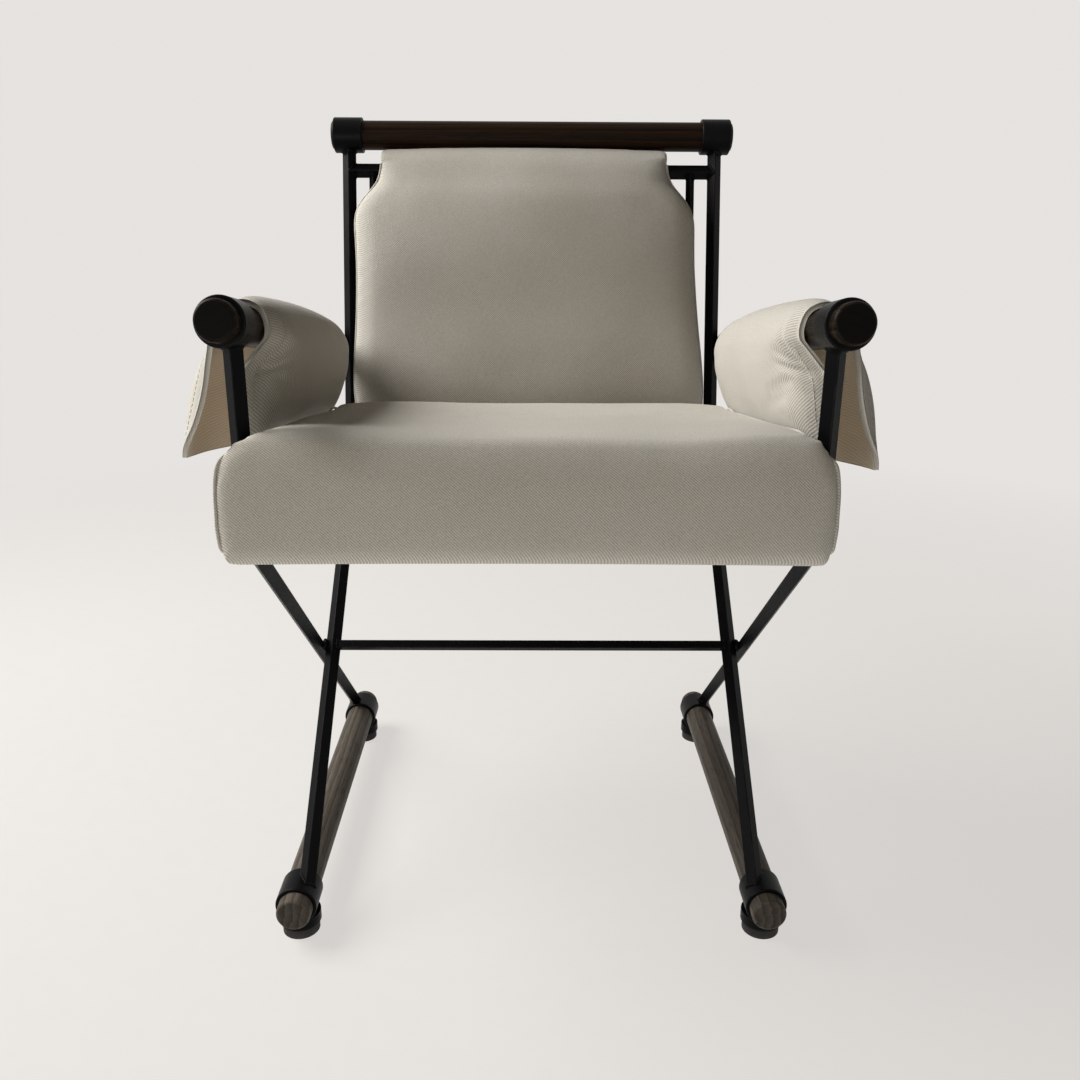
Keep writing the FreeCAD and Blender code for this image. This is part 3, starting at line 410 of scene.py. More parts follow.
# Glides: thick black rubber discs screwed up under the foot seats. They are matt, with dusty scuffs
# towards the floor.
glide_rubber, tree, shader, position = new_finish("glide_rubber", Specular_IOR_Level=0.3)
skin = place_group(tree, mottle, Position=position, Broad_Scale=55.0, Fine_Scale=700.0)
height_up = put(tree, "SeparateXYZ", Vector=position).outputs["Z"]
scuff = calc(tree, "MULTIPLY", spread(tree, height_up, 0.011, 0.0), spread(tree, skin["Broad"], 0.4, 0.7))
colour = tint(tree, scuff, (0.012, 0.012, 0.0125, 1), (0.060, 0.055, 0.050, 1))
join(tree, shader, 0.3, 0.0005, Base_Color=colour, height=skin["Fine"],
     Roughness=spread(tree, skin["Fine"], 0.3, 0.7, 0.62, 0.82))
dress(glide_rubber, *[name for name in nodes if name.startswith("foot_glide")])

# Seat cushion: a loose foam cushion with two wings in front of the arm posts, covered in a stout
# oatmeal twill. One panel runs over the top and down the rounded front; narrow side strips are
# joined to it with a thin self-covered cord. It lies on the rails under its own weight.
# The pale and deep colours are the twill's threads and also painted light on the rib tops and painted shade
# in the grooves between them.
PALE_YARN_AND_RIB_LIGHT = (0.715, 0.688, 0.632, 1)
DEEP_YARN_AND_GROOVE_SHADE = (0.345, 0.324, 0.286, 1)
CLOTH_SOILED = (0.82, 0.785, 0.73, 1)
TWILL_PITCH = 0.0016
RIB_WAY = (0.577, 0.577, 0.577)
FLOAT_WAY = (0.80, -0.33, -0.50)
FLOATS_PER_RIB = 1.55
RIB_SHARE = 0.62
SLUB_SHARE = 0.50

twill, twill_in, twill_out = node_group(
    "twill_weave", [("Position", "Vector", None), ("Pitch", "Float", TWILL_PITCH)],
    [("Rib", "Float"), ("Yarn", "Float")])


def ribs(direction, share):
    """Even ridges square to a direction, from 0 to 1."""
    along = put(twill, "VectorMath", {"operation": "DOT_PRODUCT"}, i0=twill_in.outputs["Position"],
                i1=direction).outputs["Value"]
    phase = calc(twill, "MULTIPLY", along, 2 * math.pi * share)
    turns = calc(twill, "DIVIDE", phase, twill_in.outputs["Pitch"])
    return spread(twill, calc(twill, "SINE", turns), -1.0, 1.0)


diagonal = ribs(RIB_WAY, 1.0)
floats = ribs(FLOAT_WAY, FLOATS_PER_RIB)
slub = put(twill, "TexNoise", Vector=twill_in.outputs["Position"], Scale=620.0, Detail=3.0)
rib = calc(twill, "MULTIPLY", diagonal, spread(twill, floats, 0.0, 1.0, 0.62, 1.0))
twill.links.new(rib, twill_out.inputs["Rib"])
twill.links.new(slub.outputs["Fac"], twill_out.inputs["Yarn"])


def cloth_finish(name, laid_out=None):
    """Woven cloth: the colour is paler on the ribs and deeper between them, which is partly the thread's own
    tone and partly painted shade in the grooves of the weave, with a little soiling in broad patches.
    laid_out names a flat layout of the cloth in metres; without one the weave follows the piece's axes."""
    material, tree, shader, position = new_finish(
        name, Roughness=0.88, Specular_IOR_Level=0.25, Sheen_Weight=0.18, Sheen_Roughness=0.45)
    flat = put(tree, "UVMap", {"uv_map": laid_out}).outputs["UV"] if laid_out else position
    weave = place_group(tree, twill, Position=flat)
    age = place_group(tree, mottle, Position=position, Broad_Scale=6.5, Fine_Scale=85.0)
    lift = weigh(tree, weave["Rib"], RIB_SHARE, weave["Yarn"], SLUB_SHARE)
    # Painted shade: the weave's grooves take the deep colour and the rib tops the pale one, mixed with the
    # threads' own slubs.
    yarn_tone_and_groove_shade = tint(tree, spread(tree, lift, 0.16, 0.80), DEEP_YARN_AND_GROOVE_SHADE, PALE_YARN_AND_RIB_LIGHT)
    soil = calc(tree, "MULTIPLY", spread(tree, age["Broad"], 0.46, 0.72, 0.0, 0.45),
                spread(tree, age["Fine"], 0.3, 0.7, 0.5, 1.0))
    colour = tint(tree, soil, yarn_tone_and_groove_shade, CLOTH_SOILED, "MULTIPLY")
    join(tree, shader, 0.42, 0.0007, Base_Color=colour, height=lift)
    return material


seat_cloth = cloth_finish("oatmeal_twill")
VOXEL = 0.005
SIM_FRAMES = 10
CUSHION_PRESSURE = 4.0
COVER_CLOTH = {"quality": 5, "mass": 0.4, "tension_stiffness": 18, "compression_stiffness": 18,
               "bending_stiffness": 1.2, "use_pressure": True, "uniform_pressure_force": CUSHION_PRESSURE}
CALM_ROUNDS = 60


def work_in(piece):
    """Works a piece's modifiers into its mesh."""
    depsgraph = bpy.context.evaluated_depsgraph_get()
    mesh = bpy.data.meshes.new_from_object(piece.evaluated_get(depsgraph))
    piece.modifiers.clear()
    old = piece.data
    piece.data = mesh
    bpy.data.meshes.remove(old)


def coordinates(mesh):
    flat = np.zeros(len(mesh.vertices) * 3)
    mesh.vertices.foreach_get("co", flat)
    return flat.reshape(-1, 3)


def set_coordinates(mesh, points):
    mesh.vertices.foreach_set("co", points.ravel())
    mesh.update()


def blank_of(name, node, material):
    """An even mesh of a filling, ready to be blown up into its cover."""
    mesh = nodes[node].data.copy()
    mesh.materials.clear()
    piece = bpy.data.objects.new(name, mesh)
    scene.collection.objects.link(piece)
    even = piece.modifiers.new("even", "REMESH")
    even.mode = "VOXEL"
    even.voxel_size = VOXEL
    soft = piece.modifiers.new("soft", "SMOOTH")
    soft.factor = 0.5
    soft.iterations = 5
    work_in(piece)
    piece.data.materials.append(material)
    return piece


def even_out(mesh, rows, rounds):
    """Spreads rows of numbers over neighbouring points."""
    pairs = np.zeros(len(mesh.edges) * 2, int)
    mesh.edges.foreach_get("vertices", pairs)
    first, second = pairs[::2], pairs[1::2]
    count = len(mesh.vertices)
    near = np.maximum(np.bincount(pairs, minlength=count), 1)
    for _ in range(rounds):
        sums = [np.bincount(first, row[second], count) + np.bincount(second, row[first], count)
                for row in rows.T]
        rows = 0.5 * rows + 0.5 * np.stack(sums, axis=1) / near[:, None]
    return rows


def plump(piece, held, cap, crease=0.12):
    """Blows the cover up from inside; held is a mask of points that stay, cap the furthest a point moves,
    crease the share of the cloth's small folds that is left after the filling has smoothed them."""
    start = coordinates(piece.data)
    group = piece.vertex_groups.new(name="held")
    group.add([int(index) for index in np.nonzero(held)[0]], 1.0, "REPLACE")
    cloth = piece.modifiers.new("blow_up", "CLOTH")
    for key, value in COVER_CLOTH.items():
        setattr(cloth.settings, key, value)
    cloth.settings.vertex_group_mass = "held"
    cloth.settings.effector_weights.gravity = 0
    cloth.collision_settings.use_collision = False
    for step in range(1, SIM_FRAMES + 1):
        scene.frame_set(step)
    work_in(piece)
    scene.frame_set(1)
    piece.vertex_groups.clear()
    moved = coordinates(piece.data) - start
    length = np.maximum(np.linalg.norm(moved, axis=1), 1e-9)
    moved = moved * np.minimum(1.0, cap / length)[:, None]
    calm = even_out(piece.data, moved, CALM_ROUNDS)
    return start, calm + crease * (moved - calm)


def smooth_over(piece):
    """One subdivision, worked in, with smooth shading."""
    finer = piece.modifiers.new("finer", "SUBSURF")
    finer.levels = 1
    work_in(piece)
    piece.data.polygons.foreach_set("use_smooth", [True] * len(piece.data.polygons))


def distances(path):
    """How far each point lies along a path."""
    return np.concatenate(([0], np.cumsum(np.linalg.norm(np.diff(path, axis=0), axis=1))))


def smooth_line(stations, count, axes=2):
    """Rows of numbers along a smooth curve through the stations, evenly spaced by distance."""
    known = np.array(stations, float)
    places = distances(known[:, :axes])
    slopes = np.gradient(known, places, axis=0)
    wanted = np.linspace(0, places[-1], count)
    index = np.clip(np.searchsorted(places, wanted) - 1, 0, len(known) - 2)
    width = (places[index + 1] - places[index])[:, None]
    share = (wanted[:, None] - places[index][:, None]) / width
    first, second = known[index], known[index + 1]
    bend_in, bend_out = slopes[index] * width, slopes[index + 1] * width
    rise2, rise3 = share ** 2, share ** 3
    return ((2 * rise3 - 3 * rise2 + 1) * first + (rise3 - 2 * rise2 + share) * bend_in
            + (3 * rise2 - 2 * rise3) * second + (rise3 - rise2) * bend_out)


def lay_on(path, cover, proud, smoothing, kept=0):
    """Drops a path on a cover; returns its points and the way out of the cloth at each.
    The first kept points stay on the path."""
    spots = np.array(path)
    for _ in range(3):
        hits = [cover.find_nearest(Vector(point)) for point in spots]
        spots[kept:] = [hit[0] for hit in hits[kept:]]
        outs = np.array([hit[1] for hit in hits])
        for _ in range(smoothing):
            spots[1:-1] = 0.5 * spots[1:-1] + 0.25 * (spots[:-2] + spots[2:])
            outs[1:-1] = 0.5 * outs[1:-1] + 0.25 * (outs[:-2] + outs[2:])
    outs /= np.linalg.norm(outs, axis=1)[:, None]
    return spots + outs * proud, outs


def sewn_cord(spots, outs, radius, ring=10):
    """Points and faces of a covered cord along a seam."""
    runs = np.gradient(spots, axis=0)
    sides = np.cross(runs, outs)
    sides /= np.linalg.norm(sides, axis=1)[:, None]
    ups = np.cross(sides, runs)
    ups /= np.linalg.norm(ups, axis=1)[:, None]
    vectors = [[Vector(row) for row in rows] for rows in (spots, ups, sides)]
    return tube(*vectors, radius, ring, False)


def ramp(value, start, over):
    """From 0 at a start to 1 further on, or back where over is below 0."""
    return np.clip((value - start) / over, 0, 1)


def eased(share):
    """A share from 0 to 1 with soft ends."""
    return share ** 2 * (3 - 2 * share)


def bell(away, width):
    """1 on a line or place, falling off over a width."""
    return np.exp(-(away / width) ** 2)


def draw_in(piece, seams, reach, depth):
    """Pulls the cloth down towards its seams."""
    mesh = piece.data
    points = coordinates(mesh)
    normals = np.zeros(len(mesh.vertices) * 3)
    mesh.vertices.foreach_get("normal", normals)
    tree = KDTree(sum(len(seam) for seam in seams))
    for number, spot in enumerate(np.concatenate(seams)):
        tree.insert(spot, number)
    tree.balance()
    away = np.array([tree.find(point)[2] for point in points])
    points -= normals.reshape(-1, 3) * (depth * bell(away, reach))[:, None]
    set_coordinates(mesh, points)


rearward = np.array(-slide_out)
upward = np.array(ACROSS.cross(-slide_out))
POST_INNER_X = 0.2404
POST_HALF_DIAGONAL = 0.009
NOTCH_LEAD = 2.4 * POST_HALF_DIAGONAL
SEAT_PUFF = 0.003
SEAT_UNDERSIDE = 0.012
DECK_HALF_DEPTH = 0.1
RIPPLE = 0.0009
# Swells of a filling: size, how fast they turn along two directions, and where they start.
SWELLS = ((0.45, 31, 9, 0.6), (0.35, -17, 38, 1.9), (0.20, 57, 21, 3.1))
SEAT_HOLLOW = 0.006
HOLLOW_BEHIND_POST = 0.27
HOLLOW_LENGTH = 0.13
HOLLOW_WIDTH = 0.14
EDGE_LIFT = 0.007
WING_SHIFT = -0.006
WING_FOOT = 0.006
FRONT_ARCH = 0.0015
# Ramps over the seat, back from the posts, up from the deck or out from the middle: start and length.
SEAT_TOP_UP = (0.050, 0.040)
EDGE_OUT = (0.110, 0.120)
EDGE_BACK = (0.300, -0.300)
WING_BACK = (-0.016, -0.012)
WING_UP = (0.035, -0.035)
WING_OUT = (0.0, 0.200)
ARCH_BACK = (0.020, -0.030)
ARCH_UP = (0.050, -0.050)
ARCH_OUT = (0.0, 0.250)
CORD_RADIUS = 0.0015
CORD_POINTS = 300
SEAT_SEAM_DEPTH = 0.0016
SEAT_SEAM_REACH = 0.0075
SEAT_CORD_PROUD = 0.8 * CORD_RADIUS - SEAT_SEAM_DEPTH
# The side seam runs along the top edge, back from the post, and down the wing, up from the deck:
# first slice, last slice and how many.
TOP_SLICES = (0.330, 0.014, 60)
WING_SLICES = (0.076, 0.001, 30)
SLICE_HALF = 0.003
SIDE_STRIP_X = 0.15
TOP_TILT = 0.75
WING_TILT = 0.62
STRAIGHT_TO = 0.02
# Its ends and its shoulder lie off those edges: back, up and out.
REAR_TUCK = np.array((0.012, -0.008, -0.012))
SHOULDER_TUCK = np.array((-0.004, 0.009, 0.0))
UNDER_TUCK = np.array((0.007, -0.003, -0.006))


def ridge(points, slices, key, way, degree):
    """A smooth line through the furthest point along a way in each slice of a cover."""
    picked = []
    for level in slices:
        near = points[np.abs(points @ key - level) < SLICE_HALF]
        picked.append(near[np.argmax(near @ way)])
    places = slices - slices.mean()
    fits = np.polyfit(places, np.array(picked), degree)
    return sum(np.outer(places ** (degree - power), row) for power, row in enumerate(fits))


def ripples(points, first, second):
    """Slow swells of a filled cloth, from -1 to 1, over two directions."""
    u, v = points @ first, points @ second
    return sum(size * np.sin(along * u + over * v + begin) for size, along, over, begin in SWELLS)


seat_cushion = blank_of("seat_cushion", "seat_cushion_fill", seat_cloth)
points = coordinates(seat_cushion.data)
deck_low = (points @ upward)[np.abs(points[:, 1]) < DECK_HALF_DEPTH].min()
start, moved = plump(seat_cushion, points @ upward < deck_low + SEAT_UNDERSIDE, SEAT_PUFF)
points = start + moved
post_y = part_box("arm_post_left")[0].y + POST_HALF_DIAGONAL
post_along = post_y * rearward[1] + middle("seat_front_rail").z * rearward[2]
along = points @ rearward - post_along
height = points @ upward - deck_low
out = np.abs(points[:, 0])
sat_in = bell(along - HOLLOW_BEHIND_POST, HOLLOW_LENGTH) * bell(out, HOLLOW_WIDTH)
near_post = eased(ramp(out, *EDGE_OUT)) * ramp(along, *EDGE_BACK)
settle = RIPPLE * ripples(points, rearward, np.array(ACROSS)) - SEAT_HOLLOW * sat_in + EDGE_LIFT * near_post
points += np.outer(ramp(height, *SEAT_TOP_UP) * settle, upward)
foot = np.sign(points[:, 0]) * ramp(height, *WING_UP) * ramp(out, *WING_OUT)
points[:, 0] += ramp(along, *WING_BACK) * (WING_SHIFT + WING_FOOT * foot)
slack = ramp(along, *ARCH_BACK) * ramp(height, *ARCH_UP)
arch = 1 - ramp(np.abs(points[:, 0]), *ARCH_OUT) ** 2
points += np.outer(FRONT_ARCH * slack * arch, upward)
behind = points[:, 1] > post_y - NOTCH_LEAD
points[behind, 0] = np.clip(points[behind, 0], -POST_INNER_X, POST_INNER_X)
set_coordinates(seat_cushion.data, points)
smooth_over(seat_cushion)
points = coordinates(seat_cushion.data)
seams, cords = [], []
for hand, side in SIDES:
    out_way = np.array(ACROSS) * side
    ways = np.array((rearward, upward, out_way))
    half = points[points[:, 0] * side > SIDE_STRIP_X]
    top_edge = ridge(half, post_along + np.linspace(*TOP_SLICES), rearward, out_way + TOP_TILT * upward, 5)
    wing = half[half @ rearward < post_along - TOP_SLICES[1]]
    wing_edge = ridge(wing, deck_low + np.linspace(*WING_SLICES), upward, out_way - WING_TILT * rearward, 4)
    rear_end = top_edge[0] + REAR_TUCK @ ways
    shoulder = 0.5 * (top_edge[-1] + wing_edge[0]) + SHOULDER_TUCK @ ways
    under_end = wing_edge[-1] + UNDER_TUCK @ ways
    turns = [rear_end[None, :], top_edge[::6], shoulder[None, :], wing_edge[::4], under_end[None, :]]
    route = smooth_line(np.concatenate(turns), CORD_POINTS, 3)
    straight = int(np.argmin(np.abs(route @ rearward - post_along - STRAIGHT_TO)))
    seam, outs = lay_on(route, skin_of(seat_cushion), SEAT_CORD_PROUD, 12, straight)
    seams.append(seam)
    cords.append(sewn_cord(seam, outs, CORD_RADIUS))
draw_in(seat_cushion, seams, SEAT_SEAM_REACH, SEAT_SEAM_DEPTH)
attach(seat_cushion, "seat_cushion")
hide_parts("seat_cushion_cover", "seat_cushion_fill")
new_piece("seat_cords", *merged(cords), seat_cloth, "seat_cushion", "upholstery")

# Back pad: a thin foam panel in the same twill that hangs in front of the thin bars. It narrows to a
# neck, folds over the crossbar under the top rail and is tucked down behind. Its sides roll over to a
# corded seam.
BACK_PUFF = 0.006
BACK_HELD = 0.0125
# How far the pad hangs to one side, by height from the crossbar.
BACK_PAD_LEAN = ((-0.335, -0.0015), (-0.05, -0.0100), (0.03, -0.0100))
NECK_RISE = 0.008
RAIL_CLEAR = 0.0190
FLAP_HEM = 0.104
FLAP_BEHIND = 0.03
FLAP_HALF_WIDTH = 0.1790
FLAP_STITCHED = (-0.176, 0.176, 90)
BACK_ROLL = 0.030
BACK_EDGE_SHARE = 0.42
# Ramps over the pad, ahead of the crossbar or up from it: start and length.
FACE_AHEAD = (0.012, 0.012)
NECK_AHEAD = (-0.030, 0.030)
NECK_UP = (-0.030, 0.045)
BACK_SEAM_DEPTH = 0.0012
BACK_SEAM_REACH = 0.006
BACK_SEAM_AHEAD = 0.010
BACK_SEAM_POINTS = 80
BACK_CORD_PROUD = 0.5 * CORD_RADIUS - BACK_SEAM_DEPTH
BACK_CORD_RADIUS = 0.8 * CORD_RADIUS
# The cord's way up one side: out from the middle, up from the crossbar.
BACK_SEAM = ((0.2160, -0.322), (0.2220, -0.290), (0.2182, -0.190), (0.2150, -0.085), (0.2125, -0.055),
             (0.1990, -0.034), (0.1855, -0.018), (0.1822, 0.004))
STITCH_PITCH = 0.0052
STITCH_LENGTH = 0.0036
STITCH_RADIUS = 0.00042
STITCH_PROUD = 0.0002
# Along one stitch: shares of its length from the middle, and of its radius.
STITCH_PLACES = np.array((-0.5, -0.36, 0, 0.36, 0.5))
STITCH_SIZES = (0.45, 0.9, 1.0, 0.9, 0.45)


def stitch_size(step):
    return STITCH_RADIUS * STITCH_SIZES[step]


def stitch_row(path, outs):
    """Points and faces of a row of short stitches that lie on the cloth along a path."""
    places = distances(path)
    row = []
    for centre in np.arange(STITCH_PITCH, places[-1] - 0.5 * STITCH_PITCH, STITCH_PITCH):
        spots = centre + STITCH_LENGTH * STITCH_PLACES
        middles = np.stack([np.interp(spots, places, path[:, axis]) for axis in range(3)], axis=1)
        ways = np.stack([np.interp(spots, places, outs[:, axis]) for axis in range(3)], axis=1)
        row.append(sewn_cord(middles, ways, stitch_size, 6))
    return merged(row)


def quarter_round(share):
    """From 0 to 1 like the quarter of a circle."""
    return np.sqrt(1 - (1 - share) ** 2)


to_front = np.array((0, -math.cos(BACK_RECLINE), math.sin(BACK_RECLINE)))
lean_up = np.array(up_back)
back_pad = blank_of("back_pad", "back_pad_fill", seat_cloth)
points = coordinates(back_pad.data)
crossbar = np.array(middle("back_crossbar"))
near_bars = np.abs((points - crossbar) @ to_front) < BACK_HELD
start, moved = plump(back_pad, near_bars, BACK_PUFF)
points = start + moved
outline = smooth_line(BACK_SEAM, BACK_SEAM_POINTS)
climb = (points - crossbar) @ lean_up
half_width = np.interp(climb, outline[:, 1], outline[:, 0])
inside = ramp(half_width - np.abs(points[:, 0]), 0, BACK_ROLL)
share = BACK_EDGE_SHARE + (1 - BACK_EDGE_SHARE) * quarter_round(inside)
front_face = (points - crossbar) @ to_front - BAR_HALF_DIAGONAL
rolled = np.where((front_face > 0) & (climb < 0), front_face * (share - 1), 0)
swell = RIPPLE * ramp(front_face, *FACE_AHEAD) * inside * ripples(points, lean_up, np.array(ACROSS))
points += np.outer(rolled + swell, to_front)
behind_bar = front_face < -2 * BAR_HALF_DIAGONAL
points[behind_bar, 0] = np.clip(points[behind_bar, 0], -FLAP_HALF_WIDTH, FLAP_HALF_WIDTH)
lean_up_to, lean_shift = zip(*BACK_PAD_LEAN)
points[:, 0] += np.interp(climb, lean_up_to, lean_shift)
neck = eased(ramp(climb, *NECK_UP)) * ramp(front_face, *NECK_AHEAD)
points += np.outer(NECK_RISE * neck, lean_up)
from_rail = points - np.array(middle("top_rail"))
from_rail[:, 0] = 0
near = np.maximum(np.linalg.norm(from_rail, axis=1), 1e-6)
points += from_rail * (np.maximum(RAIL_CLEAR / near, 1) - 1)[:, None]
set_coordinates(back_pad.data, points)
smooth_over(back_pad)
seams, cords = [], []
for hand, side in SIDES:
    outward = side * outline[:, 0] + np.interp(outline[:, 1], lean_up_to, lean_shift)
    route = (crossbar + np.outer(outward, ACROSS) + np.outer(outline[:, 1], lean_up)
             + to_front * (BAR_HALF_DIAGONAL + BACK_SEAM_AHEAD))
    seam, outs = lay_on(route, skin_of(back_pad), BACK_CORD_PROUD, 4)
    seams.append(seam)
    cords.append(sewn_cord(seam, outs, BACK_CORD_RADIUS))
draw_in(back_pad, seams, BACK_SEAM_REACH, BACK_SEAM_DEPTH)
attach(back_pad, "frame")
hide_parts("back_pad_cover", "back_pad_fill")
hem_x = np.linspace(*FLAP_STITCHED) + lean_shift[-1]
hem = crossbar - lean_up * FLAP_HEM - to_front * FLAP_BEHIND + np.outer(hem_x, ACROSS)
cords.append(stitch_row(*lay_on(hem, skin_of(back_pad), STITCH_PROUD, 4)))
new_piece("back_cords", *merged(cords), seat_cloth, "frame", "upholstery")

# Arm pads: saddles of the same twill over each wood arm. A filled panel hangs down the inside to the
# seat, the cloth passes over the wood and ends outside in a thin lined flap that stands away from the
# arm. Front, rear and lower edges are turned hems with a line of stitching.
LINING_DEEP = (0.70, 0.585, 0.44, 1)
LINING_PALE = (0.88, 0.77, 0.61, 1)
COLLAR_LEAD = 0.008
PAD_START = 0.046
PAD_LENGTH = 0.374
PAD_ROWS = 120
PAD_COLUMNS = 104
PAD_POINTS = PAD_ROWS * PAD_COLUMNS
END_CROWDING = 0.06
PAD_PUFF = 0.004
PAD_CROWN = 0.0055
HEM_WIDTH = 0.010
HEM_THICK = 0.0045
HEM_FLAT = 0.6 * HEM_WIDTH
HEM_HELD = 1.2 * HEM_WIDTH
LEAST_THICK = 0.55 * HEM_THICK
FRONT_ROLL = 0.034
REAR_ROLL = 0.042
REAR_SEAM = 0.034
# Grooves along the stitching: depth and half-width.
HEM_GROOVE = (0.0009, 0.0022)
REAR_GROOVE = (0.0013, 0.0026)
# Shares along the section, from the inner hem: where the flap starts and how far it runs, where the
# filling runs out, and the ends of the inner side and of the rear groove.
FLAP_RAMP = (0.60, 0.40)
FILL_RAMP = (0.62, -0.06)
INNER_SIDE_END = 0.45
REAR_GROOVE_END = 0.56
FLAP_CURL = 0.017
CURL_FADE = 0.014
FLAP_LEAN = 0.0045
FLAP_BELLY = 0.008
BELLY_PLACE = 0.075
BELLY_LENGTH = 0.05
FLAP_WAVE = 0.0030
WAVE_TURNS = 1.6
WAVE_START = 0.15
LEFT_FLAP_SHORT = 0.009
# Under the wood the front hem swings out behind the arm post: heights and how far.
HEM_SWING = ((-0.104, 0.002), (-0.078, 0.006), (-0.055, 0.012), (-0.036, 0.012), (-0.010, 0.0))
SWING_FADE = 0.055
# The rear end is cut back towards its lower corner: heights and how far.
REAR_CUT = ((-0.104, 0.003), (-0.070, 0.003), (-0.030, 0.0))
# Along the section, inner hem to outer hem: place across, height, which way is out, thickness, trim,
# share of the crown.
PAD_SECTION = (
    (0.0092, -0.1035, -1.00, 0.00, 0.0068, 0.006, 0.0),
    (0.0085, -0.0970, -1.00, 0.00, 0.0145, 0.002, 0.1),
    (0.0055, -0.0770, -1.00, 0.00, 0.0265, 0.0, 0.35),
    (-0.0004, -0.0520, -1.00, 0.05, 0.0315, 0.0, 0.7),
    (-0.0114, -0.0260, -0.99, 0.12, 0.0265, 0.0, 0.9),
    (-0.0184, 0.0000, -0.97, 0.25, 0.0165, 0.0, 1.0),
    (-0.0131, 0.0131, -0.71, 0.71, 0.0105, 0.0, 1.0),
    (0.0000, 0.0185, 0.00, 1.00, 0.0082, 0.0, 0.9),
    (0.0131, 0.0131, 0.71, 0.71, 0.0068, 0.0, 0.6),
    (0.0205, -0.0020, 0.97, 0.25, 0.0056, 0.0, 0.2),
    (0.0440, -0.0440, 0.92, 0.39, 0.0048, 0.0, 0.0),
    (0.0540, -0.0920, 0.98, 0.17, 0.0046, 0.0, 0.0),
    (0.0550, -0.1165, 1.00, 0.05, 0.0046, 0.002, 0.0),
    (0.0550, -0.1235, 1.00, 0.02, 0.0040, 0.008, 0.0))
# Creases under the arm near the front hem: start and end as distance from the front and place along
# the section from 0 to 1, then depth and half-width.
PAD_CREASES = (
    (0.010, 0.195, 0.021, 0.385, 0.0055, 0.0027),
    (0.012, 0.225, 0.046, 0.262, 0.0042, 0.0034),
    (0.012, 0.255, 0.040, 0.300, 0.0030, 0.0032),
    (0.020, 0.200, 0.080, 0.160, 0.0026, 0.0050),
    (0.030, 0.160, 0.120, 0.100, 0.0024, 0.0065),
    (0.150, 0.080, 0.330, 0.150, 0.0020, 0.0120))
CREASE_START = 0.10
CREASE_LEAST = 0.4
CREASE_FADE = 0.7
CREASE_KEPT = 0.2


def sheet_faces(rows, columns):
    """Faces of two equal grids of points, one after the other, joined all round their edges."""
    other = rows * columns
    lows = [row * columns + column for row in range(rows - 1) for column in range(columns - 1)]
    upper = [(low, low + 1, low + columns + 1, low + columns) for low in lows]
    lower = [tuple(other + index for index in face[::-1]) for face in upper]
    rim = list(range(columns))
    rim += [row * columns + columns - 1 for row in range(1, rows)]
    rim += [(rows - 1) * columns + column for column in range(columns - 2, -1, -1)]
    rim += [row * columns for row in range(rows - 2, 0, -1)]
    edge = [(there, there + other, here + other, here) for here, there in zip(rim, rim[1:] + rim[:1])]
    return upper + lower + edge


def run_of(grid, axis):
    """Distance over a grid of points along one axis, counted from its middle line."""
    steps = np.linalg.norm(np.diff(grid, axis=axis), axis=-1)
    total = np.cumsum(np.insert(steps, 0, 0, axis=axis), axis=axis)
    return total - np.take(total, [grid.shape[axis] // 2], axis=axis)


def pad_grid(root, ways, runs):
    """Rows of points that lie off a root by runs along three ways."""
    place = sum((run[..., None] * np.array(way) for way, run in zip(ways, runs)), np.array(root))
    return place.reshape(-1, 3)


pad_lining, tree, shader, position = new_finish(
    "pad_lining", Roughness=0.9, Specular_IOR_Level=0.2, Sheen_Weight=0.1)
thread = put(tree, "TexWave", {"bands_direction": "Z"}, Vector=position, Scale=110.0, Distortion=2.5,
             Detail=2.0)
skin = place_group(tree, mottle, Position=position, Broad_Scale=9.0, Fine_Scale=600.0)
warp = weigh(tree, thread.outputs["Fac"], 0.5, skin["Fine"], 0.5)
colour = tint(tree, spread(tree, warp, 0.2, 0.8), LINING_DEEP, LINING_PALE)
join(tree, shader, 0.35, 0.0006, Base_Color=colour, height=warp)

pad_cloth = cloth_finish("pad_twill", "layout")
section = smooth_line(PAD_SECTION, PAD_ROWS)
place_across, place_up, out_across, out_up, deep_full, trim, crown_share = [row[:, None] for row in section.T]
out_length = np.hypot(out_across, out_up)
out_across, out_up = out_across / out_length, out_up / out_length
share_along = np.linspace(0, 1, PAD_COLUMNS)[None, :]
share_along = share_along - END_CROWDING * np.sin(2 * math.pi * share_along)
section_share = np.linspace(0, 1, PAD_ROWS)[:, None]
section_length = distances(section[:, :2])[-1]
flap_share = ramp(section_share, *FLAP_RAMP)
filled = ramp(section_share, *FILL_RAMP)
inner_side = section_share < INNER_SIDE_END
rear_cut = np.where(inner_side, np.interp(place_up, *zip(*REAR_CUT)), trim)
reach = trim + (PAD_LENGTH - trim - rear_cut) * share_along
from_front = reach - trim
from_rear = PAD_LENGTH - rear_cut - reach
from_end = np.minimum(from_front, from_rear)
rounded = np.minimum(quarter_round(ramp(from_front, HEM_FLAT, FRONT_ROLL)),
                     quarter_round(ramp(from_rear, HEM_FLAT, REAR_ROLL)))
thick = HEM_THICK + (deep_full - HEM_THICK) * (rounded * filled + 1 - filled)
thick = thick + PAD_CROWN * crown_share * (1 - (2 * share_along - 1) ** 2)
thick = np.maximum(thick, LEAST_THICK)
swing = np.where(inner_side, np.interp(place_up, *zip(*HEM_SWING)), 0)
bellied = np.sin(math.pi * flap_share)
hang = place_across + swing * np.exp(-from_front / SWING_FADE)
hang = hang - FLAP_CURL * bellied * np.exp(-from_front / CURL_FADE)
hang = hang + FLAP_BELLY * bellied * bell(from_front - BELLY_PLACE, BELLY_LENGTH)
crease = np.zeros_like(reach)
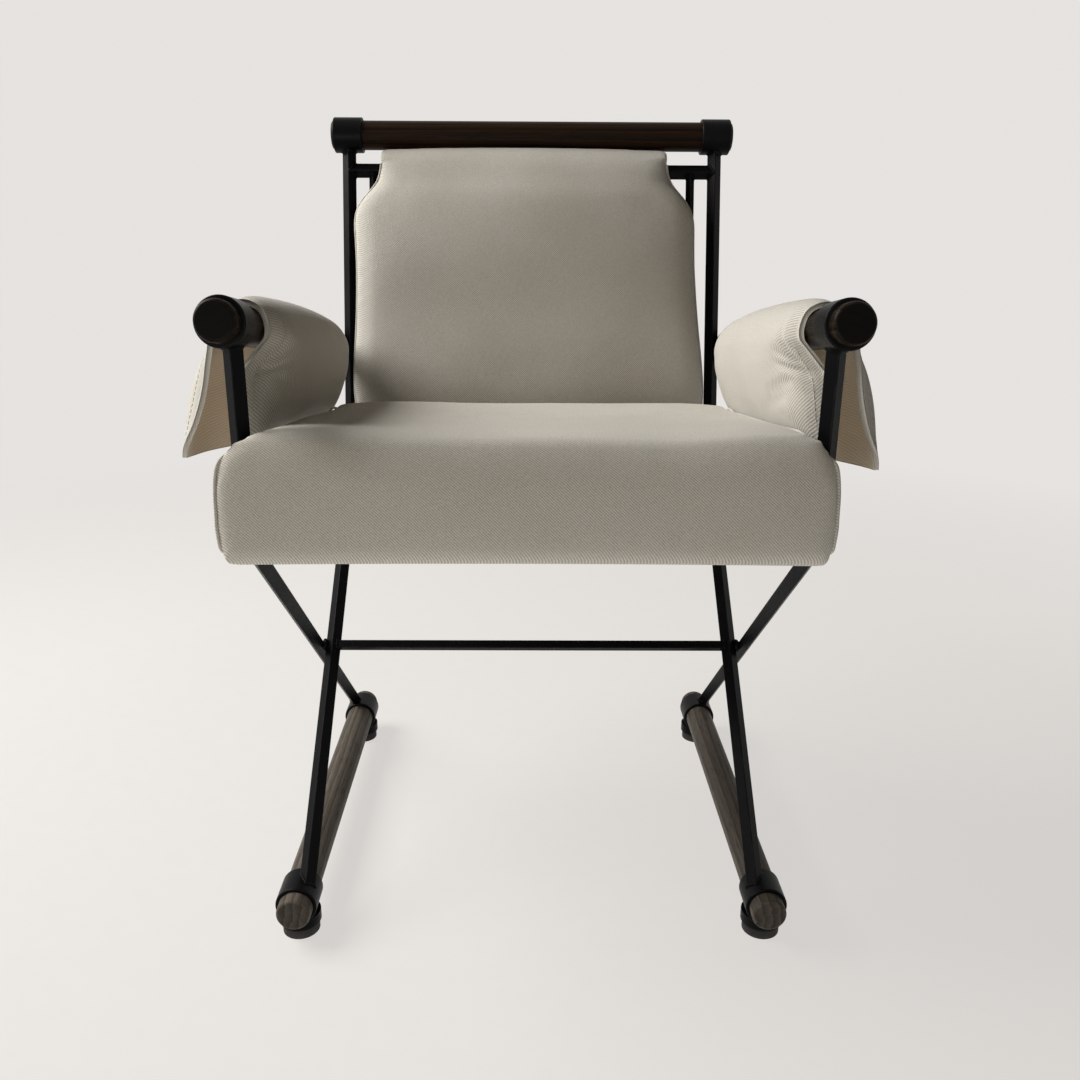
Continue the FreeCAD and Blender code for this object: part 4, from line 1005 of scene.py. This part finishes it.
for start_along, start_at, end_along, end_at, deep, wide in PAD_CREASES:
    first = np.array((start_along, start_at * section_length))
    run = np.array((end_along, end_at * section_length)) - first
    spots = np.stack(np.broadcast_arrays(reach, section_share * section_length), axis=-1) - first
    part = np.clip(spots @ run / (run @ run), 0, 1)
    away = np.linalg.norm(spots - part[..., None] * run, axis=-1)
    envelope = np.clip(part / CREASE_START, CREASE_LEAST, 1) * (1 - part) ** CREASE_FADE
    crease += deep * bell(away, wide) * envelope
groove = HEM_GROOVE[0] * bell(from_end - HEM_WIDTH, HEM_GROOVE[1])
rear_groove = REAR_GROOVE[0] * bell(PAD_LENGTH - REAR_SEAM - reach, REAR_GROOVE[1])
groove += rear_groove * (section_share < REAR_GROOVE_END)
dent = (crease * filled + groove).reshape(-1, 1)
free = ((filled > 0.5) & (from_end > HEM_HELD)).ravel()
held = np.concatenate((~free, np.ones(PAD_POINTS, bool)))
for hand, side in SIDES:
    front_collar = middle(f"arm_collar_front_{hand}")
    along = (middle(f"arm_collar_rear_{hand}") - front_collar).normalized()
    outward = Vector((side * along.y, -side * along.x, 0)).normalized()
    rise = outward.cross(along) * side
    root = front_collar + along * (COLLAR_LEAD + PAD_START)
    wave = np.sin(2 * math.pi * (WAVE_TURNS * share_along + WAVE_START * side))
    across_at = hang + flap_share * (FLAP_WAVE * wave - side * FLAP_LEAN)
    height_at = place_up + (LEFT_FLAP_SHORT * flap_share if side < 0 else 0)
    outer, inner = [pad_grid(root, (along, outward, rise),
                             (reach, across_at + out_across * deep, height_at + out_up * deep))
                    for deep in (thick, np.zeros_like(thick))]
    faces = [face[::-side] for face in sheet_faces(PAD_ROWS, PAD_COLUMNS)]
    arm_pad = new_piece(f"arm_pad_{hand}", np.concatenate((outer, inner)), faces, pad_cloth, "frame",
                        "upholstery")
    start, moved = plump(arm_pad, held, PAD_PUFF, CREASE_KEPT)
    points = start + moved
    lean = (np.array(outward) * np.repeat(out_across, PAD_COLUMNS)[:, None]
            + np.array(rise) * np.repeat(out_up, PAD_COLUMNS)[:, None])
    points[:PAD_POINTS] -= lean * dent
    set_coordinates(arm_pad.data, points)
    arm_pad.data.materials.append(pad_lining)
    half_faces = (PAD_ROWS - 1) * (PAD_COLUMNS - 1)
    slots = np.zeros(len(arm_pad.data.polygons), int)
    slots[half_faces:2 * half_faces] = 1
    arm_pad.data.polygons.foreach_set("material_index", slots)
    sheet = outer.reshape(PAD_ROWS, PAD_COLUMNS, 3)
    flat = np.stack((run_of(sheet, 1), run_of(sheet, 0)), axis=-1).reshape(-1, 2)
    corners = np.zeros(len(arm_pad.data.loops), int)
    arm_pad.data.loops.foreach_get("vertex_index", corners)
    layout = arm_pad.data.uv_layers.new(name="layout")
    turned_under = HEM_THICK * (corners >= PAD_POINTS)[:, None]
    layout.data.foreach_set("uv", (flat[corners % PAD_POINTS] + turned_under).ravel())
    outer = points[:PAD_POINTS].reshape(PAD_ROWS, PAD_COLUMNS, 3)
    front_line = int(np.argmin(np.abs(from_front[PAD_ROWS // 2] - HEM_WIDTH)))
    low_line = int(PAD_ROWS * (1 - HEM_WIDTH / section_length))
    smooth_over(arm_pad)
    cover = skin_of(arm_pad)
    lines = (outer[::2, front_line], outer[::2, -1 - front_line], outer[low_line, ::2])
    stitches = [stitch_row(*lay_on(line, cover, STITCH_PROUD, 2)) for line in lines]
    new_piece(f"arm_stitches_{hand}", *merged(stitches), seat_cloth, "frame", "upholstery")
    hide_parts(f"arm_pad_{hand}_cover", f"arm_pad_{hand}_fill")

# Floor, light and camera: a plain pale floor that fades into a pale surround, a soft window-like lamp
# from the upper left, a low one in front and a weak warm room light, and the camera where the chair is
# seen from in front.
FLOOR_COLOUR = (0.17, 0.165, 0.155, 1)
FLOOR_SPECK = (0.178, 0.173, 0.163, 1)
FLOOR_GLOW = (0.630, 0.612, 0.594, 1)
FLOOR_FADE = (0.9, 2.3)
SURROUND_COLOUR = (0.790, 0.767, 0.745, 1)
ROOM_COLOUR = (1.0, 0.84, 0.60, 1)
ROOM_STRENGTH = (0.01, 0.09)
bpy.ops.mesh.primitive_circle_add(vertices=96, radius=FLOOR_FADE[1], fill_type="NGON")
floor = bpy.context.object
floor.name = "floor"
floor_paint, tree, shader, position = new_finish("floor_paint", Roughness=0.9, Specular_IOR_Level=0.1)
reach = put(tree, "VectorMath", {"operation": "LENGTH"}, i0=position).outputs["Value"]
speck = put(tree, "TexNoise", Vector=position, Scale=40.0).outputs["Fac"]
join(tree, shader, Base_Color=tint(tree, spread(tree, speck, 0.3, 0.7), FLOOR_COLOUR, FLOOR_SPECK))
glow = put(tree, "Emission", Color=FLOOR_GLOW, Strength=1.0)
lit = put(tree, "AddShader", i0=shader.outputs[0], i1=glow.outputs[0])
clear = put(tree, "BsdfTransparent")
faded = put(tree, "MixShader", i0=spread(tree, reach, *FLOOR_FADE), i1=lit.outputs[0], i2=clear.outputs[0])
tree.links.new(faded.outputs[0], tree.nodes["Material Output"].inputs["Surface"])
floor.data.materials.append(floor_paint)

world = bpy.data.worlds.new("pale_surround")
scene.world = world
world.use_nodes = True
tree = world.node_tree
tree.nodes.clear()
path = put(tree, "LightPath").outputs
seen = calc(tree, "MAXIMUM", path["Is Camera Ray"], path["Is Transmission Ray"])
seen = calc(tree, "MAXIMUM", seen, path["Is Glossy Ray"])
surround = put(tree, "Background", Color=SURROUND_COLOUR, Strength=1.0)
height_up = put(tree, "SeparateXYZ", Vector=put(tree, "TexCoord").outputs["Generated"]).outputs["Z"]
room_light = spread(tree, height_up, 0.0, 0.9, *ROOM_STRENGTH)
ambient = put(tree, "Background", Color=ROOM_COLOUR, Strength=room_light)
either = put(tree, "MixShader", i0=seen, i1=ambient.outputs[0], i2=surround.outputs[0])
tree.links.new(either.outputs[0], put(tree, "OutputWorld").inputs["Surface"])

CHAIR_MIDDLE = Vector((0, 0, 0.45))


def add_lamp(name, size, power, colour, place):
    """A square lamp that faces the middle of the chair."""
    light = bpy.data.lights.new(name, "AREA")
    light.size = size
    light.energy = power
    light.color = colour
    lamp = bpy.data.objects.new(name, light)
    lamp.location = place
    lamp.rotation_euler = (CHAIR_MIDDLE - lamp.location).to_track_quat("-Z", "Y").to_euler()
    scene.collection.objects.link(lamp)


add_lamp("window", size=1.4, power=91, colour=(1.0, 0.985, 0.955), place=(-1.9, 0.22, 2.0))
add_lamp("doorway", size=1.2, power=13.5, colour=(1.0, 0.95, 0.86), place=(-0.5, -2.0, 0.06))

CAMERA_PLACE = (-0.00891, -1.07706, 0.69694)
CAMERA_PITCH = 0.311
CAMERA_YAW = 0.007
CAMERA_ROLL = -0.005
FOCAL_PIXELS = 983.639
PICTURE_PIXELS = 1080
OPTICAL_CENTRE = (530.43, 548.06)
look = Vector((math.sin(CAMERA_YAW) * math.cos(CAMERA_PITCH), math.cos(CAMERA_YAW) * math.cos(CAMERA_PITCH),
               -math.sin(CAMERA_PITCH)))
right = Vector((math.cos(CAMERA_YAW), -math.sin(CAMERA_YAW), 0))
down = look.cross(right)
rolled_right = right * math.cos(CAMERA_ROLL) + down * math.sin(CAMERA_ROLL)
rolled_down = down * math.cos(CAMERA_ROLL) - right * math.sin(CAMERA_ROLL)
data = bpy.data.cameras.new("camera")
data.sensor_width = 36
data.lens = data.sensor_width * FOCAL_PIXELS / PICTURE_PIXELS
data.shift_x = 0.5 - OPTICAL_CENTRE[0] / PICTURE_PIXELS
data.shift_y = OPTICAL_CENTRE[1] / PICTURE_PIXELS - 0.5
camera = bpy.data.objects.new("camera", data)
scene.collection.objects.link(camera)
axes = zip(rolled_right, -rolled_down, -look, CAMERA_PLACE)
camera.matrix_world = Matrix([*axes, (0, 0, 0, 1)])
scene.camera = camera
scene.view_settings.view_transform = "Standard"
